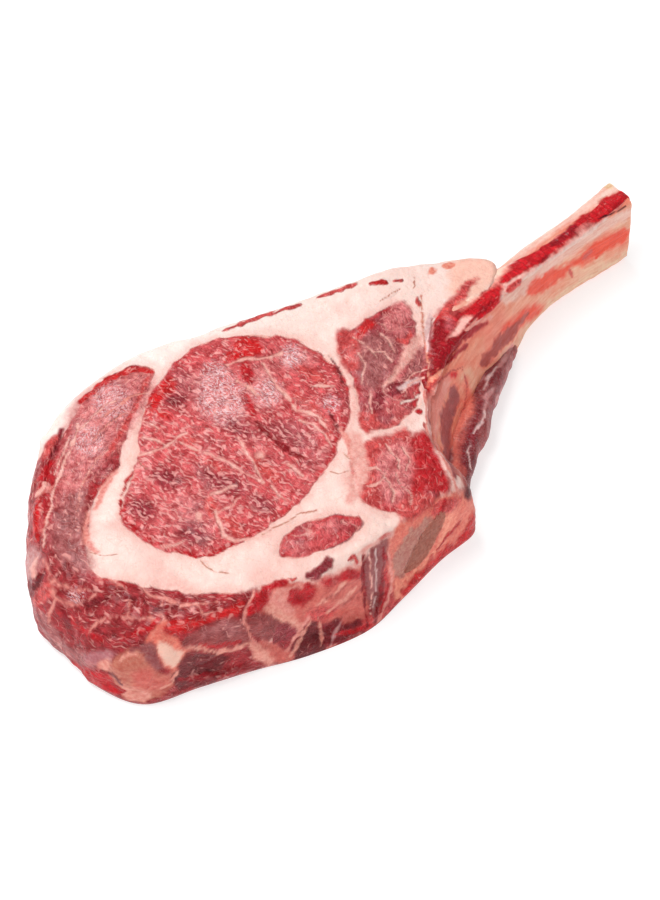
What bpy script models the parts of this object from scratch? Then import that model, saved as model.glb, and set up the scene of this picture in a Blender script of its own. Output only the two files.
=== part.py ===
"""A raw bone-in rib steak, lying on one cut face, with its long rib bone pointing along +X.

The meat is one slab, lofted round its side from a few stations. The muscles that show at the
cut face are upright columns of that slab, and the fat between them is what is left over.
The rib is a blade on edge that runs along the slab's inner side and out past it.
Shapes are drawn in millimetres in a drawing frame, and STEAK_AT places that frame in the world.
"""
import math

import bmesh
import bpy
import numpy as np

MM = 0.001
STEAK_AT = (-19.5, -7.5, 0.0)      # puts the middle of the whole steak over the origin
THICK = 42.0                       # height of the upper cut face
GAP = 0.3                          # clearance between neighbouring pieces
WELD = 0.01                        # points of one shape nearer than this are made one
FOOT_ROUND = 5.0                   # height of the rounding along the lower edge
FOOT_TUCK = 2.5                    # how far that rounding draws in
FACE_CENTRE = (-40.0, 21.0)        # the cut faces' grids close in on this point
SPINE_Y = 20.0                     # centre line that the shoulder of the slab turns towards
FACE_CELLS = 24                    # grid cells across each cut face
SHOULDER_ROWS = 5                  # rows from the waist of the side up to the cut face
WAVE = 0.9                         # unevenness of the cut face and the side

# Stations round the slab: x and y of its widest line, how far the foot stands outside that
# line, the height of the line, the width of the shoulder above it, and the x on the centre
# line that the shoulder turns towards.
SIDE = (
    (116, 22, 0, 20, 6, 90), (107, 35, 0, 20, 7, 90), (83, 49, 0, 20, 7, 76),
    (52, 59, 0, 20, 7, 50), (21, 68, 0, 20, 7, 20), (-10, 77, 0, 20, 7, -10),
    (-37, 86, 0, 20, 8, -37), (-65, 87, 0, 20, 8, -58), (-94, 79, 0, 20, 9, -60),
    (-119, 59, -2, 18, 12, -60), (-138, 36, -2, 14, 20, -60), (-149, 14, -2, 12, 26, -60),
    (-148, -6, -1, 10, 28, -60), (-146, -24, 1, 10, 28, -60), (-135, -41, 3, 12, 22, -60),
    (-112, -49, 3, 14, 14, -60), (-89, -56, 4, 14, 10, -60), (-66, -62, 7, 12, 10, -58),
    (-40, -66, 9, 12, 9, -40), (-18, -66, 6, 14, 8, -18), (8, -65, 2, 14, 10, -10),
    (28, -64, 1, 9, 20, -50), (29, -53, 3, 18, 13, -50), (27, -41, 6, 28, 8, -10),
    (31, -30, 7, 32, 6, 20), (44, -15.5, 8, 33, 6, 40), (62, -5.5, 9, 30, 7, 64),
    (86, 3, 7, 21, 8, 84), (104, 9, 4, 21, 6, 90),
)
SQUARE_EDGE = 3.2                  # squareness of a shoulder of no width
SQUARE_LOSS = 0.045                # and what each millimetre of width takes off it

# Outlines of the muscles at the cut face, each closed and smooth.
EYE = (
    (-94, 23), (-102, 15), (-102, 2), (-96, -11), (-87, -22), (-74, -25), (-56, -27),
    (-34, -24), (-19, -19), (-6, -13), (8, -3), (17, 8), (21, 22), (20, 38), (14, 50),
    (0, 62), (-14, 69), (-29, 68), (-42, 64), (-53, 59), (-66, 48), (-77, 36),
)
CAP = (
    (-40, 71), (-47, 65), (-61, 58), (-74, 48), (-88, 38), (-104, 31), (-116, 20),
    (-125, 8), (-126, -3), (-118, -14), (-109, -26), (-97, -38), (-88, -46), (-85, -58),
    (-89, -80), (-140, -75), (-180, -30), (-180, 30), (-150, 62), (-118, 68),
    (-97, 66), (-82, 73), (-70, 79), (-57, 81), (-47, 79),
)
RIB_SIDE = (
    (30, 29), (38, 32), (50, 33), (62, 31), (65, 22), (60, 12), (52, 0), (44, -9),
    (36, -17), (26, -20), (16, -20), (10, -15), (13, -5), (21, 9), (26, 20),
)
CHINE_SIDE = (
    (-5, -24), (8, -23), (19, -27), (22, -37), (19, -50), (13, -59), (5, -61),
    (-5, -58), (-14, -51), (-17, -42), (-13, -32),
)
INNER = (
    (-59, -38), (-51, -35), (-43, -35), (-34, -40), (-24, -48), (-30, -53), (-40, -53),
    (-50, -51), (-58, -48), (-62, -43),
)
LOWER = ((-79, -51), (-60, -55), (-38, -57), (-19, -55), (-19, -90), (-50, -100), (-77, -90))
LOWER_TOP = 31.0                   # the lower muscle stops under the fat at this height

# Stations of the rib from its sawn tip: x and y of the upper edge of its inner face, the
# heights of its upper and lower edges, how far it leans outwards at its foot, its thickness.
RIB = (
    (187.5, 10, 40, 0.4, 0, 16.5), (176, 10, 40, 0.4, 0, 15), (159, 10.5, 39.5, 0.4, 0, 13),
    (141, 10, 39.5, 0.6, 0, 13), (123, 8, 40, 1, 2, 13.5), (108, 5.5, 41, 1, 6, 14),
    (94, 3.5, 42, 1, 11, 14), (80, 1, 42, 1, 15, 13.5), (67, -4, 40, 1, 17, 12.5),
    (55, -10, 37, 1, 17, 11.5), (46.5, -16, 36, 1, 16, 11), (38.5, -23.5, 36, 1, 14, 11),
    (32.5, -31, 34.5, 1, 12, 11), (29, -39, 31, 1, 10, 10.5), (27, -47, 25, 1.5, 8, 10),
    (26.5, -56, 14, 2, 5, 8),
)
RIB_CORNER = 3.0                   # rounding along the blade's edges
CORNER_STEPS = 3

# Stations of the strip of meat on top of the rib: x, y, width and height of its upper side.
FINGER = (
    (188, 16, 7, 40.6), (170, 14.5, 8, 40.6), (150, 13.5, 8, 40.3), (130, 13, 9, 40.5),
    (114, 13, 12, 41.5), (100, 12, 16, 42.3), (86, 10, 17, 42.6), (72, 6, 15, 42.6),
    (61, 0, 12, 42.6), (52, -7, 9, 42.5), (44, -14, 6, 42),
)
FINGER_DEPTH = 5.0
FINGER_SIDES = 12

# Stations of the dark meat at the foot of the rib's inner face: x, y, width and height.
FLANK = (
    (108.5, 2, 6, 8), (95, -4.5, 9, 13), (82.5, -10.5, 13, 16), (71, -17, 14, 17),
    (61.5, -22.5, 18, 17), (54, -26, 18, 16), (46.5, -31, 18, 15), (40, -36, 17, 14),
    (35, -42, 15, 12), (32, -49, 10, 9), (31, -54, 6, 6),
)
FLANK_SIDES = 12

CHINE_AT = (-1.5, -64.0, 22.0)     # middle of the sawn vertebra's face
CHINE_SIZE = (31.0, 13.5)          # length and width of that oval
CHINE_TILT = 46.0                  # degrees that it climbs towards +X
CHINE_FACING = -8.0                # degrees that it is turned from facing -Y
CHINE_DEEP = 10.0
CHINE_PROUD = 6.0

COLOURS = {
    "eye_muscle": (0.52, 0.075, 0.075), "cap_muscle": (0.42, 0.06, 0.06),
    "rib_side_muscle": (0.5, 0.09, 0.085), "chine_side_muscle": (0.5, 0.06, 0.06),
    "inner_muscle": (0.5, 0.09, 0.08), "lower_muscle": (0.48, 0.08, 0.06),
    "seam_fat": (0.9, 0.68, 0.6), "rib_bone": (0.85, 0.5, 0.42),
    "finger_meat": (0.48, 0.03, 0.03), "flank_meat": (0.3, 0.04, 0.04),
    "chine_bone": (0.5, 0.3, 0.24),
}


def clear_scene():
    for thing in list(bpy.data.objects):
        bpy.data.objects.remove(thing, do_unlink=True)


def new_collection(name):
    group = bpy.data.collections.new(name)
    bpy.context.scene.collection.children.link(group)
    return group


def finish(name):
    """Principled material in the piece's own colour."""
    material = bpy.data.materials.new(name)
    material.use_nodes = True
    shader = material.node_tree.nodes["Principled BSDF"]
    shader.inputs["Base Color"].default_value = (*COLOURS[name], 1.0)
    shader.inputs["Roughness"].default_value = 0.4
    shader.inputs["Metallic"].default_value = 0.0
    return material


def curve_rows(rows, steps, closed):
    """Catmull-Rom curve through the rows: steps samples after each row, all columns alike."""
    rows = np.array(rows, float)
    if not closed:
        first, last = 2 * rows[0] - rows[1], 2 * rows[-1] - rows[-2]
        padded = np.vstack([first, rows, last])
        before, start, end, after = padded[:-3], padded[1:-2], padded[2:-1], padded[3:]
    else:
        before, start = np.roll(rows, 1, axis=0), rows
        end, after = np.roll(rows, -1, axis=0), np.roll(rows, -2, axis=0)
    u = np.linspace(0.0, 1.0, steps, endpoint=False)[None, :, None]
    before, start, end, after = (p[:, None, :] for p in (before, start, end, after))
    curve = 0.5 * (2 * start + (end - before) * u
                   + (2 * before - 5 * start + 4 * end - after) * u ** 2
                   + (3 * start - before - 3 * end + after) * u ** 3)
    curve = curve.reshape(-1, rows.shape[1])
    return curve if closed else np.vstack([curve, rows[-1]])


def evenly(points, count):
    """Closed run of rows, set out again at equal steps along their first two columns."""
    loop = np.vstack([points, points[:1]])
    run = np.concatenate([[0.0], np.cumsum(np.hypot(*np.diff(loop[:, :2], axis=0).T))])
    at = np.linspace(0.0, run[-1], count, endpoint=False)
    return np.stack([np.interp(at, run, column) for column in loop.T], axis=1)


def slab_side():
    """Stations round the slab, evenly spaced, as many as the rim of a cut face's grid."""
    return evenly(curve_rows(SIDE, 12, closed=True), 4 * FACE_CELLS)


def inward(x, y, aim):
    """Unit direction from a point on the side to its aim on the centre line."""
    length = np.hypot(aim - x, SPINE_Y - y)
    return (aim - x) / length, (SPINE_Y - y) / length


def face_height(x, y):
    """Upper cut face: level but for low, broad waves."""
    return THICK + WAVE * (np.sin(x / 19.0 + 1.0) * np.cos(y / 15.0) + 0.6 * np.sin((x - y) / 11.0))


def side_rings():
    """Rings of the slab's side from its foot to the rim of the upper cut face."""
    x, y, foot, waist, shoulder, aim = slab_side().T
    dx, dy = inward(x, y, aim)
    square = SQUARE_EDGE - SQUARE_LOSS * shoulder
    rings = []
    for height in (0.0, 0.2, 0.45, 1.0):
        z = height * FOOT_ROUND
        tuck = FOOT_TUCK * (1.0 - height) ** 2
        out = foot * (1.0 - z / waist) - tuck
        rings.append(np.stack([x - dx * out, y - dy * out, np.full_like(x, z)], axis=1))
    for row in range(SHOULDER_ROWS + 1):
        turn = 0.5 * math.pi * row / SHOULDER_ROWS
        draw_in = shoulder * (1.0 - abs(math.cos(turn)) ** (2.0 / square))
        lift = abs(math.sin(turn)) ** (2.0 / square)
        px, py = x + dx * draw_in, y + dy * draw_in
        z = waist + (face_height(px, py) - waist) * lift
        wave = WAVE * np.sin(px / 9.0) * np.cos(z / 8.0 + py / 13.0) * (1.0 - lift)
        rings.append(np.stack([px - dx * wave, py - dy * wave, z], axis=1))
    return rings


def face_grid(rim):
    """Square grid laid over a cut face: its squares shrink from the rim to the centre."""
    half = FACE_CELLS // 2
    column, row = np.meshgrid(np.arange(-half, half + 1), np.arange(-half, half + 1))
    ring = np.maximum(abs(column), abs(row))
    run = np.select(
        [(column == ring) & (row > -ring), row == ring, column == -ring],
        [row + ring, 3 * ring - column, 5 * ring - row], 7 * ring + column)
    around = np.where(ring > 0, run / np.maximum(8 * ring, 1), 0.0) % 1.0
    closed_rim = np.vstack([rim, rim[:1]])
    at = np.linspace(0.0, 1.0, len(closed_rim))
    share = ring / half
    x = FACE_CENTRE[0] + (np.interp(around, at, closed_rim[:, 0]) - FACE_CENTRE[0]) * share
    y = FACE_CENTRE[1] + (np.interp(around, at, closed_rim[:, 1]) - FACE_CENTRE[1]) * share
    return x, y


def add_rings(shape, rings):
    """Joins closed rings of equal count with quads and returns their vertices."""
    rows = [[shape.verts.new(point * MM) for point in ring] for ring in rings]
    for lower, upper in zip(rows, rows[1:]):
        for i in range(len(lower)):
            j = (i + 1) % len(lower)
            shape.faces.new((lower[i], lower[j], upper[j], upper[i]))
    return rows


def mesh_object(name, shape, group, keeper):
    """Object from a bmesh, with its normals outwards, carried by the keeper empty."""
    bmesh.ops.recalc_face_normals(shape, faces=shape.faces)
    mesh = bpy.data.meshes.new(name)
    shape.to_mesh(mesh)
    shape.free()
    thing = bpy.data.objects.new(name, mesh)
    thing.parent = keeper
    group.objects.link(thing)
    return thing


def make_slab(group, keeper):
    """The whole piece of meat: the side's rings, a gridded upper face and a flat underside."""
    shape = bmesh.new()
    rings = side_rings()
    rows = add_rings(shape, rings)
    shape.faces.new(reversed(rows[0]))
    x, y = face_grid(rings[-1])
    face = np.stack([x, y, face_height(x, y)], axis=-1) * MM
    grid = [[shape.verts.new(point) for point in row] for row in face]
    for i in range(x.shape[0] - 1):
        for j in range(x.shape[1] - 1):
            shape.faces.new((grid[i][j], grid[i][j + 1], grid[i + 1][j + 1], grid[i + 1][j]))
    bmesh.ops.remove_doubles(shape, verts=shape.verts, dist=WELD * MM)
    bmesh.ops.triangulate(shape, faces=shape.faces)
    return mesh_object("slab", shape, group, keeper)


def section_loft(name, group, keeper, sections):
    """Closed solid through a run of ring sections."""
    shape = bmesh.new()
    rows = add_rings(shape, sections)
    shape.faces.new(rows[0])
    shape.faces.new(reversed(rows[-1]))
    bmesh.ops.triangulate(shape, faces=shape.faces)
    return mesh_object(name, shape, group, keeper)


def path_side(path):
    """Unit directions in plan, square to a path, on the hand that looks away from the meat."""
    step = np.gradient(path[:, :2], axis=0)
    step /= np.hypot(step[:, 0], step[:, 1])[:, None]
    return np.stack([-step[:, 1], step[:, 0]], axis=1)


def squircle(count, square):
    """Points round a unit superellipse, from -1 to 1 both ways."""
    turn = np.linspace(0.0, 2 * math.pi, count, endpoint=False) + math.pi / count
    c, s = np.cos(turn), np.sin(turn)
    return np.sign(c) * abs(c) ** (2 / square), np.sign(s) * abs(s) ** (2 / square)


def rounded_box(width, tall, corner):
    """Points round a rectangle with rounded corners, centred on its middle."""
    turn = np.linspace(0.0, 0.5 * math.pi, CORNER_STEPS + 1)
    across, up = [], []
    for quarter, (sx, sy) in enumerate(((1, 1), (-1, 1), (-1, -1), (1, -1))):
        angle = turn + 0.5 * math.pi * quarter
        across.append(sx * (0.5 * width - corner) + corner * np.cos(angle))
        up.append(sy * (0.5 * tall - corner) + corner * np.sin(angle))
    return np.concatenate(across), np.concatenate(up)


def rib_sections(grow):
    """Leaning blade sections: thick across, tall up, with the upper inner edge on the path."""
    path = curve_rows(RIB, 2, closed=False)
    side = path_side(path)
    sections = []
    for (x, y, top, foot, lean, thick), (sx, sy) in zip(path, side):
        across, up = rounded_box(thick + 2 * grow, top - foot + 2 * grow, RIB_CORNER + grow)
        level = 0.5 * (top + foot) + up
        share = (level - foot) / (top - foot)
        out = across - 0.5 * thick + lean * (1.0 - share)
        sections.append(np.stack([x + sx * out, y + sy * out, level], axis=1))
    return sections


def strip_sections(stations, sides, square, grow, depth=None):
    """Rounded strip sections: each station is x, y, width and height of the upper side."""
    path = curve_rows(stations, 2, closed=False)
    side = path_side(path)
    across, up = squircle(sides, square)
    sections = []
    for (x, y, width, top), (sx, sy) in zip(path, side):
        tall = 0.5 * (depth if depth else top) + grow
        out = across * (0.5 * width + grow)
        level = top + grow - tall + tall * up
        sections.append(np.stack([x + sx * out, y + sy * out, level], axis=1))
    return sections


def lengthen(sections, by):
    """The same run of sections with both end sections moved out along the run."""
    longer = [ring.copy() for ring in sections]
    for end, inner in ((0, 1), (-1, -2)):
        step = longer[end].mean(axis=0) - longer[inner].mean(axis=0)
        longer[end] += step / np.linalg.norm(step) * by
    return longer


def column(name, group, keeper, outline, low, high, grow=0.0):
    """Upright column on a smooth closed outline, grown outwards by a clearance."""
    points = curve_rows(outline, 3, closed=True)
    turn = 1.0 if signed_area(points) > 0 else -1.0
    step = np.roll(points, -1, axis=0) - np.roll(points, 1, axis=0)
    step /= np.hypot(step[:, 0], step[:, 1])[:, None]
    points = points + turn * grow * np.stack([step[:, 1], -step[:, 0]], axis=1)
    curve = bpy.data.curves.new(name, "CURVE")
    curve.dimensions = "2D"
    curve.fill_mode = "BOTH"
    curve.extrude = 0.5 * (high - low) * MM
    line = curve.splines.new("POLY")
    line.points.add(len(points) - 1)
    for place, (x, y) in zip(line.points, points):
        place.co = (x * MM, y * MM, 0.0, 1.0)
    line.use_cyclic_u = True
    source = bpy.data.objects.new(name + "_outline", curve)
    source.location = (0.0, 0.0, 0.5 * (high + low) * MM)
    source.parent = keeper
    group.objects.link(source)
    bpy.context.view_layer.update()
    shape = bmesh.new()
    shape.from_mesh(bpy.data.meshes.new_from_object(
        source.evaluated_get(bpy.context.evaluated_depsgraph_get())))
    bmesh.ops.remove_doubles(shape, verts=shape.verts, dist=WELD * MM)
    solid = mesh_object(name, shape, group, keeper)
    solid.location = source.location
    bpy.data.objects.remove(source, do_unlink=True)
    return solid


def signed_area(points):
    x, y = points[:, 0], points[:, 1]
    return 0.5 * float(np.sum(x * np.roll(y, -1) - np.roll(x, -1) * y))


def chine_plug(name, group, keeper, grow):
    """Oval plug whose outer end stands past the side, so that the side's shape ends it."""
    shape = bmesh.new()
    bmesh.ops.create_cone(shape, cap_ends=True, segments=28, radius1=1.0, radius2=1.0, depth=1.0)
    length, width = (0.5 * size + grow for size in CHINE_SIZE)
    depth = CHINE_DEEP + CHINE_PROUD + 2 * grow
    bmesh.ops.scale(shape, vec=(length * MM, width * MM, depth * MM), verts=shape.verts)
    plug = mesh_object(name, shape, group, keeper)
    middle = 0.5 * (CHINE_PROUD - CHINE_DEEP)
    facing = math.radians(CHINE_FACING)
    plug.rotation_mode = "XYZ"
    plug.rotation_euler = (math.radians(90.0), -math.radians(CHINE_TILT), facing)
    out = (math.sin(facing), -math.cos(facing), 0.0)
    plug.location = tuple((at + step * middle) * MM for at, step in zip(CHINE_AT, out))
    return plug


def cut(thing, operation, cutters, solver="EXACT"):
    """Boolean modifiers, one for each cutter."""
    for tool in cutters:
        step = thing.modifiers.new(operation.lower() + "_" + tool.name, "BOOLEAN")
        step.operation = operation
        step.solver = solver
        step.object = tool


def split_faces(thing):
    """Leaves only triangles, so that no long many-sided face is left to chance."""
    step = thing.modifiers.new("triangles", "TRIANGULATE")
    step.ngon_method = "BEAUTY"


def piece_from(name, source, group, keeper):
    """Named piece that starts as a copy of another object's mesh."""
    piece = bpy.data.objects.new(name, source.data.copy())
    piece.location = source.location
    piece.parent = keeper
    piece.data.materials.clear()
    piece.data.materials.append(finish(name))
    group.objects.link(piece)
    return piece


def hide_tools(tools):
    for tool in tools.objects:
        tool.hide_render = True
        tool.display_type = "WIRE"


def main():
    clear_scene()
    keeper = bpy.data.objects.new("steak_frame", None)
    keeper.location = tuple(value * MM for value in STEAK_AT)
    bpy.context.scene.collection.objects.link(keeper)
    steak = new_collection("rib_steak")
    tools = new_collection("cutters")

    slab = make_slab(tools, keeper)
    rib = section_loft("rib", tools, keeper, rib_sections(0.0))
    rib_room = section_loft("rib_room", tools, keeper, lengthen(rib_sections(GAP), GAP))
    finger_run = strip_sections(FINGER, FINGER_SIDES, 2.6, 0.0, FINGER_DEPTH)
    finger = section_loft("finger", tools, keeper, finger_run)
    finger_grown = strip_sections(FINGER, FINGER_SIDES, 2.6, GAP, FINGER_DEPTH)
    finger_room = section_loft("finger_room", tools, keeper, lengthen(finger_grown, GAP))
    flank = section_loft("flank", tools, keeper, strip_sections(FLANK, FLANK_SIDES, 2.4, 0.0))
    flank_grown = lengthen(strip_sections(FLANK, FLANK_SIDES, 2.4, GAP), GAP)
    flank_room = section_loft("flank_room", tools, keeper, flank_grown)
    chine_room = chine_plug("chine_room", tools, keeper, GAP)
    plug = chine_plug("chine_plug", tools, keeper, 0.0)

    column_rooms = []
    above = THICK + 10.0
    bone_rooms = [rib_room, finger_room, chine_room]
    outlines = (("eye_muscle", EYE, above, []), ("cap_muscle", CAP, above, []),
                ("rib_side_muscle", RIB_SIDE, above, [rib_room, finger_room]),
                ("chine_side_muscle", CHINE_SIDE, above, bone_rooms),
                ("inner_muscle", INNER, above, []),
                ("lower_muscle", LOWER, LOWER_TOP, [chine_room]))
    for name, outline, top, rooms in outlines:
        solid = column(name + "_column", tools, keeper, outline, -10.0, top)
        room = column(name + "_room", tools, keeper, outline, -10.0 - GAP, top + GAP, GAP)
        column_rooms.append(room)
        muscle = piece_from(name, slab, steak, keeper)
        # The exact solver leaves a hole in the eye muscle's underside.
        cut(muscle, "INTERSECT", [solid], "MANIFOLD")
        cut(muscle, "DIFFERENCE", rooms)

    fat = piece_from("seam_fat", slab, steak, keeper)
    cut(fat, "DIFFERENCE", column_rooms + bone_rooms + [flank_room])
    bone = piece_from("rib_bone", rib, steak, keeper)
    cut(bone, "DIFFERENCE", [finger_room])
    piece_from("finger_meat", finger, steak, keeper)
    side_meat = piece_from("flank_meat", flank, steak, keeper)
    cut(side_meat, "DIFFERENCE", [rib_room])
    chine = piece_from("chine_bone", slab, steak, keeper)
    cut(chine, "INTERSECT", [plug])
    for piece in steak.objects:
        split_faces(piece)
    hide_tools(tools)


main()
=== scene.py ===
"""Visual model of a raw bone-in rib steak that lies on one cut face.

The meat is one dense slab with relief, cut into muscles, fat and a sawn vertebra.
The rib, the strip of meat on it and the meat at its foot are lofts along their paths.
Shapes are drawn in millimetres in a drawing frame, and STEAK_AT places that frame in the world.
Colours are laid point by point: marks are given as the camera sees them, across and down the
picture, and each takes hold only on the surface that faces the camera there.
"""
import math

import bpy
import numpy as np
from mathutils import Matrix, Vector


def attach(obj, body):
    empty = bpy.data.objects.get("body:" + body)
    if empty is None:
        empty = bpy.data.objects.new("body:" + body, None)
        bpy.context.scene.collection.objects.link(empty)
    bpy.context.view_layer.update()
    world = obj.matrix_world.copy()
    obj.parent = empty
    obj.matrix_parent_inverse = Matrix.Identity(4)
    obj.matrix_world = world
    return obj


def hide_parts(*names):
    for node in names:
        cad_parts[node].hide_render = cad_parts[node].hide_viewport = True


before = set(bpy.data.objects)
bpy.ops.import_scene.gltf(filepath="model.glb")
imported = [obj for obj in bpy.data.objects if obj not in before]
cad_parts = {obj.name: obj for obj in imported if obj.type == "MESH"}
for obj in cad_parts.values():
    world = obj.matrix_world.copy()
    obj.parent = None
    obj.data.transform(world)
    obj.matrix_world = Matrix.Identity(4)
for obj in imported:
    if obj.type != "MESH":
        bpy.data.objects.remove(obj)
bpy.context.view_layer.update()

MM = 0.001
STEAK_AT = np.array([-19.5, -7.5, 0.0])
THICK = 42.0
FOOT_ROUND = 5.0
FOOT_TUCK = 2.5
FACE_CENTRE = (-40.0, 21.0)
SPINE_Y = 20.0
WAVE = 0.9
SQUARE_EDGE = 3.2
SQUARE_LOSS = 0.045

CELLS = 236                        # grid cells across each cut face
FOOT_ROWS = 6
WALL_ROWS = 28
SHOULDER_ROWS = 38

# The slab's stations, the muscles' outlines and the bone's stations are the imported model's own.
SIDE = (
    (116, 22, 0, 20, 6, 90), (107, 35, 0, 20, 7, 90), (83, 49, 0, 20, 7, 76),
    (52, 59, 0, 20, 7, 50), (21, 68, 0, 20, 7, 20), (-10, 77, 0, 20, 7, -10),
    (-37, 86, 0, 20, 8, -37), (-65, 87, 0, 20, 8, -58), (-94, 79, 0, 20, 9, -60),
    (-119, 59, -2, 18, 12, -60), (-138, 36, -2, 14, 20, -60), (-149, 14, -2, 12, 26, -60),
    (-148, -6, -1, 10, 28, -60), (-146, -24, 1, 10, 28, -60), (-135, -41, 3, 12, 22, -60),
    (-112, -49, 3, 14, 14, -60), (-89, -56, 4, 14, 10, -60), (-66, -62, 7, 12, 10, -58),
    (-40, -66, 9, 12, 9, -40), (-18, -66, 6, 14, 8, -18), (8, -65, 2, 14, 10, -10),
    (28, -64, 1, 9, 20, -50), (29, -53, 3, 18, 13, -50), (27, -41, 6, 28, 8, -10),
    (31, -30, 7, 32, 6, 20), (44, -15.5, 8, 33, 6, 40), (62, -5.5, 9, 30, 7, 64),
    (86, 3, 7, 21, 8, 84), (104, 9, 4, 21, 6, 90),
)
EYE = (
    (-94, 23), (-102, 15), (-102, 2), (-96, -11), (-87, -22), (-74, -25), (-56, -27),
    (-34, -24), (-19, -19), (-6, -13), (8, -3), (17, 8), (21, 22), (20, 38), (14, 50),
    (0, 62), (-14, 69), (-29, 68), (-42, 64), (-53, 59), (-66, 48), (-77, 36),
)
CAP = (
    (-40, 71), (-47, 65), (-61, 58), (-74, 48), (-88, 38), (-104, 31), (-116, 20),
    (-125, 8), (-126, -3), (-118, -14), (-109, -26), (-97, -38), (-88, -46), (-85, -58),
    (-89, -80), (-140, -75), (-180, -30), (-180, 30), (-150, 62), (-118, 68),
    (-97, 66), (-82, 73), (-70, 79), (-57, 81), (-47, 79),
)
RIB_SIDE = (
    (30, 29), (38, 32), (50, 33), (62, 31), (65, 22), (60, 12), (52, 0), (44, -9),
    (36, -17), (26, -20), (16, -20), (10, -15), (13, -5), (21, 9), (26, 20),
)
CHINE_SIDE = (
    (-5, -24), (8, -23), (19, -27), (22, -37), (19, -50), (13, -59), (5, -61),
    (-5, -58), (-14, -51), (-17, -42), (-13, -32),
)
INNER = (
    (-59, -38), (-51, -35), (-43, -35), (-34, -40), (-24, -48), (-30, -53), (-40, -53),
    (-50, -51), (-58, -48), (-62, -43),
)
LOWER = ((-79, -51), (-60, -55), (-38, -57), (-19, -55), (-19, -90), (-50, -100), (-77, -90))
LOWER_TOP = 31.0
RIB = (
    (187.5, 10, 40, 0.4, 0, 16.5), (176, 10, 40, 0.4, 0, 15), (159, 10.5, 39.5, 0.4, 0, 13),
    (141, 10, 39.5, 0.6, 0, 13), (123, 8, 40, 1, 2, 13.5), (108, 5.5, 41, 1, 6, 14),
    (94, 3.5, 42, 1, 11, 14), (80, 1, 42, 1, 15, 13.5), (67, -4, 40, 1, 17, 12.5),
    (55, -10, 37, 1, 17, 11.5), (46.5, -16, 36, 1, 16, 11), (38.5, -23.5, 36, 1, 14, 11),
    (32.5, -31, 34.5, 1, 12, 11), (29, -39, 31, 1, 10, 10.5), (27, -47, 25, 1.5, 8, 10),
    (26.5, -56, 14, 2, 5, 8),
)
RIB_CORNER = 3.0
FINGER = (
    (188, 16, 7, 40.6), (170, 14.5, 8, 40.6), (150, 13.5, 8, 40.3), (130, 13, 9, 40.5),
    (114, 13, 12, 41.5), (100, 12, 16, 42.3), (86, 10, 17, 42.6), (72, 6, 15, 42.6),
    (61, 0, 12, 42.6), (52, -7, 9, 42.5), (44, -14, 6, 42),
)
FINGER_DEPTH = 5.0
FLANK = (
    (108.5, 2, 6, 8), (95, -4.5, 9, 13), (82.5, -10.5, 13, 16), (71, -17, 14, 17),
    (61.5, -22.5, 18, 17), (54, -26, 18, 16), (46.5, -31, 18, 15), (40, -36, 17, 14),
    (35, -42, 15, 12), (32, -49, 10, 9), (31, -54, 6, 6),
)
CHINE_AT = (-1.5, -64.0, 22.0)
CHINE_SIZE = (31.0, 13.5)
CHINE_TILT = 46.0
CHINE_FACING = -8.0
CHINE_DEEP = 10.0
CHINE_PROUD = 6.0

# Camera: where it looks from, and the scale of the picture that the marks are placed on.
ELEVATION = math.radians(52.0)
AZIMUTH = math.radians(-40.0)
TARGET = np.array([0.0, 0.0, 21.0])
DISTANCE = 1500.0
PIXELS_PER_MM = 2.3
FRAME_HEIGHT = 900.0
SENSOR = 36.0
MIDDLE = (330.0, 450.0)
BACK = np.array([math.sin(AZIMUTH) * math.cos(ELEVATION),
                 -math.cos(AZIMUTH) * math.cos(ELEVATION), math.sin(ELEVATION)])
ACROSS = np.array([math.cos(AZIMUTH), math.sin(AZIMUTH), 0.0])
UPWARD = np.cross(BACK, ACROSS)

# Colours as they look on the lit face, red, green and blue out of 255, and how lean each is.
PALETTE = {
    "eye": ((234, 91, 95), 1.0), "rose": ((238, 132, 132), 1.0), "maroon": ((168, 48, 60), 1.0),
    "plum": ((200, 90, 96), 1.0), "bright": ((222, 26, 30), 0.9), "blood": ((206, 22, 34), 0.8),
    "deep": ((158, 8, 26), 0.7), "black": ((84, 6, 22), 0.5), "coral": ((230, 84, 82), 0.95),
    "cream": ((251, 218, 208), 0.0), "white": ((253, 240, 233), 0.0),
    "pink": ((243, 178, 168), 0.1), "blush": ((236, 150, 140), 0.15),
    "orange": ((238, 146, 126), 0.1), "rust": ((220, 72, 46), 0.15),
    "brown": ((188, 86, 80), 0.3), "straw": ((240, 218, 180), 0.0), "tan": ((214, 136, 118), 0.1),
    "silver": ((204, 142, 142), 0.1), "lilac": ((190, 116, 122), 0.3),
    "grey": ((230, 192, 190), 0.2), "meat": ((180, 50, 56), 1.0), "dusk": ((164, 70, 70), 0.8),
    "night": ((126, 34, 40), 0.8), "peach": ((250, 182, 158), 0.0),
    "shell": ((250, 198, 180), 0.0), "line": ((196, 128, 108), 0.0),
    "mauve": ((158, 84, 86), 0.2), "marrow": ((188, 124, 112), 0.0),
    "salmon": ((218, 108, 98), 0.3), "claret": ((142, 22, 34), 0.85),
    "smoke": ((190, 106, 106), 0.95),
    "fawn": ((200, 116, 100), 0.05), "ash": ((232, 152, 138), 0.05),
    "amber": ((232, 124, 108), 0.05), "clay": ((246, 150, 128), 0.0),
    "umber": ((152, 58, 50), 0.0),
}

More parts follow.
